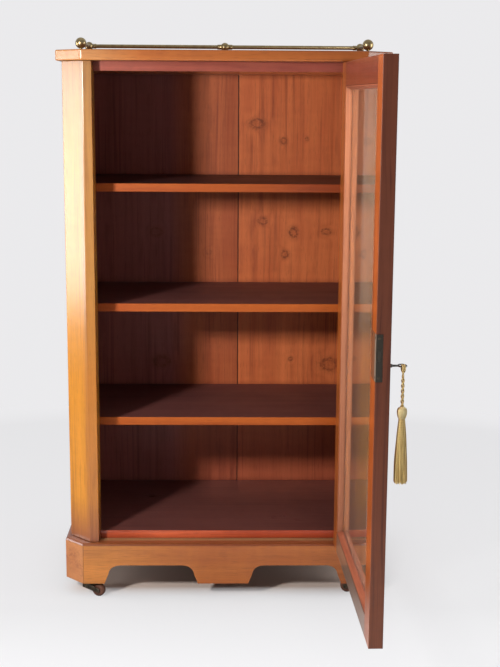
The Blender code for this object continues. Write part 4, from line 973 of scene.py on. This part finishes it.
class CABINET_OT_key(bpy.types.Operator):
    """Turn the key's shank and collars, bend its bow and file its bit"""

    bl_idname = "cabinet.key"
    bl_label = "Key"

    def execute(self, context):
        steel = metal("key_steel", context.scene.cabinet_metal.steel, (0.10, 0.085, 0.07), 0.34, 0.7, 220)
        tip = -(DOOR_INNER - 0.0015 - 0.0003)
        collar = -DOOR_OUTER + 0.003
        radius = 0.0019
        end = -BOW_Y - BOW_HALF_LENGTH
        rings = ((radius, 0), (0.0026, 0), (0.0032, 0.0007), (0.0032, 0.0011), (0.0024, 0.0015),
                 (0.0030, 0.0020), (0.0029, 0.0026), (radius, 0.0030))
        profile = [(0, tip), (radius - 0.0004, tip), (radius, tip + 0.0004),
                   *((wide, collar + z) for wide, z in rings),
                   (0.0016, end - 0.0012), (0.0018, end), (0.0012, end + 0.0009), (0, end + 0.0010)]
        mesh = joined_mesh([lathe(profile, steel, 28), self.bow(steel), self.bit(steel, tip)])
        axis = DOOR @ Matrix.Translation((KEY_X, 0, KEY_Z)) @ Matrix.Rotation(math.pi / 2, 4, "X")
        keep(set_down(mesh, axis), "key_of_steel", "key", ("key",))
        return {"FINISHED"}

    def bow(self, steel):
        """Oval ring of wire, a little flattened, in the key's own XZ plane."""
        steps, sides = 48, 12
        wide, thick = 0.0015, 0.00125
        bm = bmesh.new()
        loops = []
        for step in range(steps):
            angle = FULL_TURN * step / steps
            x, z = math.cos(angle), math.sin(angle)
            middle = Vector((BOW_HALF_WIDTH * x, 0, BOW_HALF_LENGTH * z - BOW_Y))
            outward = Vector((BOW_HALF_LENGTH * x, 0, BOW_HALF_WIDTH * z)).normalized()
            loop = []
            for side in range(sides):
                about = FULL_TURN * side / sides
                offset = outward * math.cos(about) * wide + Vector((0, math.sin(about) * thick, 0))
                loop.append(bm.verts.new(middle + offset))
            loops.append(loop)
        for before, loop in zip([loops[-1], *loops], loops):
            for side in range(sides):
                bm.faces.new((before[side - 1], before[side], loop[side], loop[side - 1]))
        return solid_mesh(bm, "bow", steel)

    def bit(self, steel, tip):
        """Bit with one ward cut and a step."""
        thickness = 0.0022
        outline = ((0.0005, 0), (0.0060, 0), (0.0060, 0.0014), (0.0042, 0.0014), (0.0042, 0.0021),
                   (0.0060, 0.0021), (0.0060, 0.0036), (0.0050, 0.0045), (0.0005, 0.0045))
        bm = bmesh.new()
        face = bm.faces.new([bm.verts.new((x, -thickness / 2, tip + z)) for x, z in outline])
        raised = bmesh.ops.extrude_face_region(bm, geom=[face])["geom"]
        lifted = [item for item in raised if isinstance(item, bmesh.types.BMVert)]
        bmesh.ops.translate(bm, vec=(0, thickness, 0), verts=lifted)
        return solid_mesh(bm, "bit", steel)


class CABINET_OT_gallery(bpy.types.Operator):
    """Turn the gallery's posts and rails in brass"""

    bl_idname = "cabinet.gallery"
    bl_label = "Gallery"

    FINIAL, BALL = 0.011, 0.009

    def execute(self, context):
        brass = bpy.data.materials["aged_brass"]
        balls = {
            "gallery_finial_left": self.FINIAL,
            "gallery_finial_right": self.FINIAL,
            "gallery_corner_left": self.BALL,
            "gallery_corner_right": self.BALL,
            "gallery_middle_post": self.BALL,
        }
        posts = [self.post(node, ball, brass) for node, ball in balls.items()]
        low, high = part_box("gallery_middle_post")
        reach = (high.x - low.x) / 2
        centre = (low + high) / 2
        centre.z = high.z - self.BALL
        rings = ((0.0045, 0), (0.0052, 0.0006), (0.0052, 0.0022), (0.0047, 0.0028), (0.0052, 0.0036))
        sleeve = [(0, -reach), *both_ends(rings, -reach, reach), (0, reach)]
        posts.append(set_down(lathe(sleeve, brass, 32), Matrix.Translation(centre) @ facing((1, 0, 0))))
        keep(joined_mesh(posts), "gallery_posts", "carcase", tuple(balls))
        starts = {
            "gallery_rail_back": (0, self.BALL),
            "gallery_rail_left": (1, self.FINIAL),
            "gallery_rail_right": (1, self.FINIAL),
        }
        rails = [self.rail(node, axis, ball, brass) for node, (axis, ball) in starts.items()]
        keep(joined_mesh(rails), "gallery_rails", "carcase", tuple(starts))
        return {"FINISHED"}

    def post(self, node, ball, brass):
        """Ball on a waisted neck and a stepped foot, where the node stands."""
        low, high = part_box(node)
        rise = high.z - ball - low.z
        neck = 0.0030
        start = math.degrees(math.asin((neck + 0.0004) / ball))
        foot = ((0, 0), (0.0068, 0), (0.0070, 0.0004), (0.0070, 0.0010), (0.0060, 0.0013), (0.0054, 0.0019),
                (0.0040, 0.0022), (neck, 0.0030))
        profile = [*foot, (0.0026, (rise - ball) / 2 + 0.0010), (neck, rise - ball * 0.97),
                   *arc(rise, ball, start, 180, 22)]
        middle = (low + high) / 2
        return set_down(lathe(profile, brass), Matrix.Translation((middle.x, middle.y, low.z)))

    def rail(self, node, axis, ball, brass):
        """Rail with a ringed collar at each end, where the node lies; the ball is the one at its start."""
        low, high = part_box(node)
        stub, radius = 0.005, 0.003
        length = high[axis] - low[axis]
        first, last = (stub - end + math.sqrt(end ** 2 - radius ** 2) for end in (ball, self.BALL))
        rings = ((0.0046, 0.0), (0.0052, 0.0006), (0.0052, 0.0020), (0.0046, 0.0026), (0.0046, 0.0032),
                 (0.0051, 0.0040), (0.0051, 0.0054), (0.0044, 0.0064), (0.0040, 0.0070))
        profile = [(0, 0), (radius, 0), (radius, first), *both_ends(rings, first, length - last),
                   (radius, length - last), (radius, length), (0, length)]
        direction = [int(number == axis) for number in range(3)]
        centre = (low + high) / 2
        centre[axis] = low[axis]
        return set_down(lathe(profile, brass, 28), Matrix.Translation(centre) @ facing(direction))


class CABINET_OT_fittings(bpy.types.Operator):
    """Finish the hinges, the lock and the castors, and drive their screws"""

    bl_idname = "cabinet.fittings"
    bl_label = "Hinges, lock and castors"

    def execute(self, context):
        settings = context.scene.cabinet_metal
        brass = bpy.data.materials["aged_brass"]
        bronze = metal("dark_bronze", settings.bronze, settings.bronze_dark, 0.38, 0.95, 160)
        brown = ((0.20, 0.085, 0.05), (0.11, 0.042, 0.026))
        bolt = metal("bolt_steel", (0.080, 0.066, 0.050), settings.bronze_dark, 0.4, 0.5, 60, 0.4)
        marks = (("Y", 0.0268, 0.0274, (0.30, 0.21, 0.15), 1.0),
                 ("X", FREE_EDGE + 0.011, FREE_EDGE + 0.014, (0.25, 0.085, 0.030), 1.0))
        case = metal("lock_bronze", (0.052, 0.042, 0.030), (0.036, 0.028, 0.021), 0.42, 0.4, 25, 0.25, marks)
        finish([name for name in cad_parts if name.startswith("hinge_")], brass)
        finish(["lock_bolt"], bolt)
        finish(["lock_case"], case)
        finish(["castor_horn_" + corner for corner in CORNERS], bronze)
        clad(["castor_wheel_" + corner for corner in CORNERS], brown, "Z", 0.0, rings=3, sheen=0.4, pores=0.2)
        self.hinge_screws(settings.screw_radius, brass)
        self.lock_screws(bronze)
        for corner in CORNERS:
            self.rivets(corner, bronze)
        return {"FINISHED"}

    def hinge_screws(self, radius, brass):
        """Three screws in each leaf, the middle one nearer the pin."""
        fixed, moving = [], []
        for low, high in (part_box("hinge_pin_lower"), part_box("hinge_pin_upper")):
            for rise, inset in ((-0.022, 0.016), (0.0, 0.0125), (0.022, 0.016)):
                level = (low.z + high.z) / 2 + rise
                fixed.append(((HINGE[0], HINGE[1] + inset, level), (-1, 0, 0)))
                moving.append(self.on_door((-0.0015, inset, level), (1, 0, 0)))
        keep(fasteners(fixed, radius, HEAD_HEIGHT, brass, seed=2), "hinge_screws_on_post", "carcase")
        keep(fasteners(moving, radius, HEAD_HEIGHT, brass, seed=4), "hinge_screws_on_door", "door")

    def lock_screws(self, bronze):
        """Two screws in the lock's edge plate and four in its case."""
        places = []
        for level in (LOCK_Z - 0.031, LOCK_Z + 0.031):
            places.append(self.on_door((FREE_EDGE, DOOR_INNER - 0.0055, level), (-1, 0, 0)))
            for inset in (0.007, 0.038):
                places.append(self.on_door((FREE_EDGE + inset, DOOR_INNER, level), (0, 1, 0)))
        keep(fasteners(places, 0.0022, HEAD_HEIGHT, bronze, seed=6), "lock_screws", "door")

    def on_door(self, place, way):
        """Return a place and a direction of the door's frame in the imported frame."""
        return DOOR @ Vector(place), DOOR.to_3x3() @ Vector(way)

    def rivets(self, corner, bronze):
        """Two domed rivets over the ends of a castor's axle."""
        low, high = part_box("castor_wheel_" + corner)
        angles = {"front_left": -20, "front_right": 150, "back_left": 35, "back_right": 115}
        turn = Matrix.Rotation(math.radians(angles[corner]), 3, "Z")
        reach = 0.0086
        ways = [turn @ Vector((0, sign, 0)) for sign in (-1, 1)]
        places = [((low + high) / 2 + way * reach, way) for way in ways]
        heads = fasteners(places, 0.0030, 0.0007, bronze, slotted=False, seed=8)
        keep(heads, "castor_rivets_" + corner, "castor_" + corner)


class CABINET_OT_woodwork(bpy.types.Operator):
    """Polish the carcase, the plinth, the shelves and the door, and dye the back boards and paint shade on
    them
    """

    bl_idname = "cabinet.woodwork"
    bl_label = "Woodwork"

    def execute(self, context):
        settings = context.scene.cabinet_wood
        self.polish = {"sheen": settings.roughness, "coat": settings.polish}
        self.birch = (settings.birch_light, settings.birch_dark)
        self.inner = (settings.inner_light, settings.inner_dark)
        self.carcase(settings)
        self.plinth(settings)
        self.shelves(settings)
        self.back_boards(settings)
        self.door(settings)
        return {"FINISHED"}

    def polished(self, node, tones, grain, seed, **options):
        """Give a node a polished timber of its own."""
        clad([node], tones, grain, seed, **self.polish, **options)

    def carcase(self, settings):
        """Top board, corner posts, sides, and the boards whose dyed red and mauve edges stop the door; painted
        light lies on the top board, the posts and the bottom edge.
        """
        # Painted light: the top board is paler at its left end and darker towards the right, as the front-left
        # lamp's light falls off across it.
        marks = (("X", -0.15, -0.24, (0.70, 0.300, 0.090), 0.8),
                 ("X", -0.17, -0.05, (0.49, 0.130, 0.028), 0.5))
        self.polished("top_board", self.birch, "X", 1.0, marks=marks)
        # Bands of tone up each post: deeper orange below the middle, darker towards the foot and towards the
        # top. The Y mark is painted light: it makes the canted face and the side lighter than the front, as
        # the lamp at the left lights them.
        post_bands_and_lit_cant = (("Z", 0.64, 0.44, (0.60, 0.200, 0.026), 0.85), ("Y", 0.003, 0.010, (0.86, 0.330, 0.018), 0.65),
                ("Z", 0.20, 0.12, (0.38, 0.112, 0.040), 0.9), ("Z", 0.88, 1.03, (0.43, 0.185, 0.040), 0.75))
        post = (settings.post_light, settings.post_dark)
        for number, side in enumerate(SIDES):
            way = (-1, 1)[number]
            inside = [("X", way * 0.2985, way * 0.2975, settings.side_inside, 1.0)]
            self.polished("corner_post_" + side, post, "Z", 2.0 + number, marks=post_bands_and_lit_cant)
            self.polished("side_" + side, self.birch, "Z", 4.0 + number, rings=10, marks=inside)
        # Painted light: the bottom board's red edge is brighter left of the middle and turns back to its own
        # tone at the left end. Behind the edge its top is darker, as dust and painted shade.
        marks = (("X", 0.06, -0.10, (0.90, 0.170, 0.060), 1.0), ("X", -0.14, -0.20, settings.red_edge, 0.8),
                 (*STOP_PLANE, (0.215, 0.074, 0.062), 1.0))
        self.polished("carcase_bottom", (settings.red_edge, settings.red_edge_dark), "X", 11.0, marks=marks)
        self.polished("carcase_top", (settings.mauve_edge, settings.mauve_edge_dark), "X", 18.0,
                      marks=[(*STOP_PLANE, settings.inner_light, 1.0)])

    def plinth(self, settings):
        """Plinth with its darker ledge, its grimed mitres, and the raw pine inside it."""
        tones = (settings.plinth_light, settings.plinth_dark)
        # A darker band along the plinth front's top arris, and a darker ledge above it.
        ledge = [("Z", 0.1076, 0.1092, (0.24, 0.052, 0.020), 0.85),
                 ("Z", 0.1123, 0.1128, (0.38, 0.115, 0.036), 0.9)]
        low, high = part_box("plinth_front")
        mitres = [("X", low.x + 0.0018, low.x + 0.0010, settings.grime, 0.4),
                  ("X", high.x - 0.0018, high.x - 0.0010, settings.grime, 0.4)]
        # Painted light: the plinth front turns lighter towards its left end, as the front-left lamp lights it
        # more there.
        marks = [("X", -0.04, -0.25, (0.82, 0.300, 0.062), 0.85), *ledge, *mitres]
        self.polished("plinth_front", tones, "X", 6.0, marks=marks, patches=0.6)
        pale = ((0.66, 0.265, 0.090), (0.43, 0.140, 0.048))
        for number, side in enumerate(SIDES):
            self.polished("plinth_corner_" + side, pale, "X", 7.0 + number, marks=ledge)
            self.polished("plinth_side_" + side, tones, "Y", 9.0 + number, marks=ledge)
        pine = (settings.pine_light, settings.pine_dark)
        rough = {"sheen": 0.62, "coat": 0.0, "pores": 0.3}
        clad(["corner_block_" + corner for corner in CORNERS], pine, "Z", 15.0, **rough)
        clad(["plinth_back", "plinth_front_rail"], pine, "X", 16.0, **rough)

    def shelves(self, settings):
        """Matt shelves, each with a bright front edge and a top darkened by dust and painted shade."""
        # Dust and painted shade: the shelf tops behind the front edges are darker than their light alone makes
        # them; the upper shelf also has painted shade towards its right.
        dusty_shaded = (*SHELF_PLANE, settings.shelf_top, 1.0)
        shaded = (("X", -0.05, 0.16, settings.shade_tone, 0.9), (*SHELF_PLANE, (0.092, 0.036, 0.036), 1.0))
        for number, (name, marks) in enumerate((("upper", shaded), ("middle", [dusty_shaded]), ("lower", [dusty_shaded]))):
            clad(["shelf_" + name], self.inner, "X", 12.0 + number, marks=marks, streaks=0.3, sheen=0.5,
                 coat=0.0, shine=0.25)

    def back_boards(self, settings):
        """Stained pine with its knots where the photograph shows them, and the tongue between the boards."""
        knots = {
            "left": ((-0.149, 0.692, 0.014, 0.010, 0.5), (-0.034, 0.648, 0.007, 0.006, 0.4),
                     (-0.138, 0.404, 0.018, 0.013, 0.6)),
            "right": ((0.069, 0.926, 0.016, 0.011, 0.85), (0.127, 0.890, 0.007, 0.007, 0.8),
                      (0.177, 0.894, 0.004, 0.004, 0.8), (0.083, 0.717, 0.011, 0.008, 0.75),
                      (0.151, 0.692, 0.010, 0.012, 0.85), (0.223, 0.694, 0.011, 0.007, 0.8),
                      (0.133, 0.644, 0.008, 0.009, 0.8), (0.148, 0.410, 0.005, 0.005, 0.8),
                      (0.234, 0.398, 0.019, 0.014, 0.8)),
        }
        black = dimmed(dimmed(settings.grime, DIRTY), DIRTY)
        joint = (("X", 0.0284, 0.0292, black, 1.0), ("X", 0.0314, 0.0306, black, 1.0))
        for number, side in enumerate(SIDES):
            # The right board is lighter than the left partly in its own tone and partly as painted light.
            light = (settings.left_board, settings.right_board)[number]
            # Painted shade: the boards darken towards the bottom bay, and the left board's left part darkens
            # where the left post's shadow falls.
            marks = (("Z", 0.36, 0.20, (0.44, 0.092, 0.048), 0.7),
                     ("X", -0.07, -0.12, (0.42, 0.122, 0.105), 0.9),
                     (*BACK_PLANE, dimmed(light, BEHIND), 1.0), joint[number])
            clad(["back_board_" + side], (light, dimmed(light, BACK_GRAIN)), "Z", 20.0 + number, rings=13,
                 sheen=0.5, coat=0.08, marks=marks, knots=knots[side], pores=0.6, streaks=0.6, patches=0.25)
        left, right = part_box("back_board_left"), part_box("back_board_right")
        low = Vector((left[1].x - 0.0001, left[0].y + 0.0040, left[0].z))
        high = Vector((right[0].x + 0.0001, left[1].y - 0.0012, left[1].z))
        dark = timber("dark_tongue", (settings.side_inside, dimmed(settings.side_inside, DIRTY)), "Z", 24.0,
                      sheen=0.7, coat=0.0)
        keep(bevelled_bar(low, high, 0.0001, dark), "back_board_tongue", "carcase", smooth=False)

    def door(self, settings):
        """Door frame and beads in their own frame, so that the grain turns with them."""
        # Painted reflection: the door's free edge turns lighter towards its foot, for the bright floor
        # mirrored in it.
        foot = dimmed(settings.door_edge, EDGE_FOOT_REFLECTION)
        marks = ((*STILE_PLANE, settings.door_inside, 1.0),
                 ("X", FREE_EDGE + 0.0014, FREE_EDGE + 0.0006, (foot, settings.door_edge, 0.16, 0.52), 1.0))
        self.polished("door_lock_stile", self.birch, "Z", 30.0, home=DOOR, rings=16.0, marks=marks,
                      streaks=0.8)
        self.polished("door_hinge_stile", self.birch, "Z", 31.0, home=DOOR,
                      marks=[(*STILE_PLANE, settings.inner_light, 0.7)])
        outside = [(*RAIL_PLANE, settings.birch_light, 1.0)]
        # Painted reflection: the bottom rail's paler, greyer tones stand for the bright floor mirrored in it.
        rails = (("top", (settings.rail_light, settings.rail_dark), 32.0),
                 ("bottom", ((0.32, 0.185, 0.125), (0.23, 0.120, 0.078)), 35.0))
        for name, tones, seed in rails:
            self.polished("door_" + name + "_rail", tones, "X", seed, home=DOOR, marks=outside)
        low = [("Z", 0.95, 0.50, (0.40, 0.145, 0.070), 0.85)]
        beads = (
            (["hinge"], ((0.68, 0.245, 0.110), (0.54, 0.165, 0.066)), "Z", 33.0, low),
            # Painted highlight: the bead at the free side is nearly white gold, for the bright line of light
            # along it.
            (["free"], ((0.96, 0.68, 0.38), (0.84, 0.54, 0.28)), "Z", 36.0, ()),
            (["top", "bottom"], ((0.46, 0.135, 0.064), (0.32, 0.080, 0.038)), "X", 34.0, ()),
        )
        for places, tones, grain, seed, marks in beads:
            clad(["glazing_bead_" + place for place in places], tones, grain, seed, home=DOOR, sheen=0.6,
                 coat=0.0, marks=marks)


class CABINET_OT_glass(bpy.types.Operator):
    """Glaze the door with old drawn glass"""

    bl_idname = "cabinet.glass"
    bl_label = "Glass"

    def execute(self, context):
        finish(["glass_pane"], clear_glass("drawn_glass", (0.95, 0.975, 0.965)))
        return {"FINISHED"}


class CABINET_OT_nails(bpy.types.Operator):
    """Nail the back boards to the carcase"""

    bl_idname = "cabinet.nails"
    bl_label = "Back nails"

    def execute(self, context):
        iron = metal("nail_iron", (0.13, 0.11, 0.10), (0.06, 0.04, 0.03), 0.5, 0.9, 300)
        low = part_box("back_board_left")[0]
        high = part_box("back_board_right")[1]
        chance = random.Random(11)
        inset, margin, gaps = 0.012, 0.02, 7
        places = []
        for x in (low.x + inset, -0.004, 0.064, high.x - inset):
            for step in range(gaps + 1):
                z = low.z + margin + (high.z - low.z - 2 * margin) * step / gaps
                jitter = chance.uniform(-0.003, 0.003)
                places.append(((x + jitter, high.y + 0.0001, z + jitter), (0, 1, 0)))
        heads = fasteners(places, 0.0021, 0.0004, iron, slotted=False, seed=9)
        keep(heads, "back_board_nails", "carcase")
        return {"FINISHED"}


class CABINET_PT_panel(bpy.types.Panel):
    """Settings and steps of the cabinet"""

    bl_label = "Pier Cabinet"
    bl_space_type = "VIEW_3D"
    bl_region_type = "UI"
    bl_category = "Cabinet"

    def draw(self, context):
        layout = self.layout
        for name, group in SETTINGS.items():
            box = layout.box()
            settings = getattr(context.scene, name)
            for key in group.__annotations__:
                box.prop(settings, key)
        for operator in OPERATORS:
            layout.operator(operator.bl_idname)


SETTINGS = {
    "cabinet_wood": WoodSettings,
    "cabinet_metal": MetalSettings,
    "cabinet_tassel": TasselSettings,
    "cabinet_stage": StageSettings,
}
OPERATORS = (
    CABINET_OT_stage,
    CABINET_OT_tassel,
    CABINET_OT_key,
    CABINET_OT_gallery,
    CABINET_OT_fittings,
    CABINET_OT_woodwork,
    CABINET_OT_glass,
    CABINET_OT_nails,
)


def register():
    for item in (*SETTINGS.values(), *OPERATORS, CABINET_PT_panel):
        bpy.utils.register_class(item)
    for name, group in SETTINGS.items():
        setattr(bpy.types.Scene, name, bpy.props.PointerProperty(type=group))


def unregister():
    for name in SETTINGS:
        delattr(bpy.types.Scene, name)
    for item in reversed((*SETTINGS.values(), *OPERATORS, CABINET_PT_panel)):
        bpy.utils.unregister_class(item)


def main():
    register()
    build_grain_group()
    build_screw_tree()
    build_plied_tree()
    build_thread_tree()
    settings = bpy.context.scene.cabinet_metal
    metal("aged_brass", settings.brass, settings.tarnish, 0.26, 0.55, 70)
    for operator in OPERATORS:
        group, step = operator.bl_idname.split(".")
        getattr(getattr(bpy.ops, group), step)()


if __name__ == "__main__":
    main()
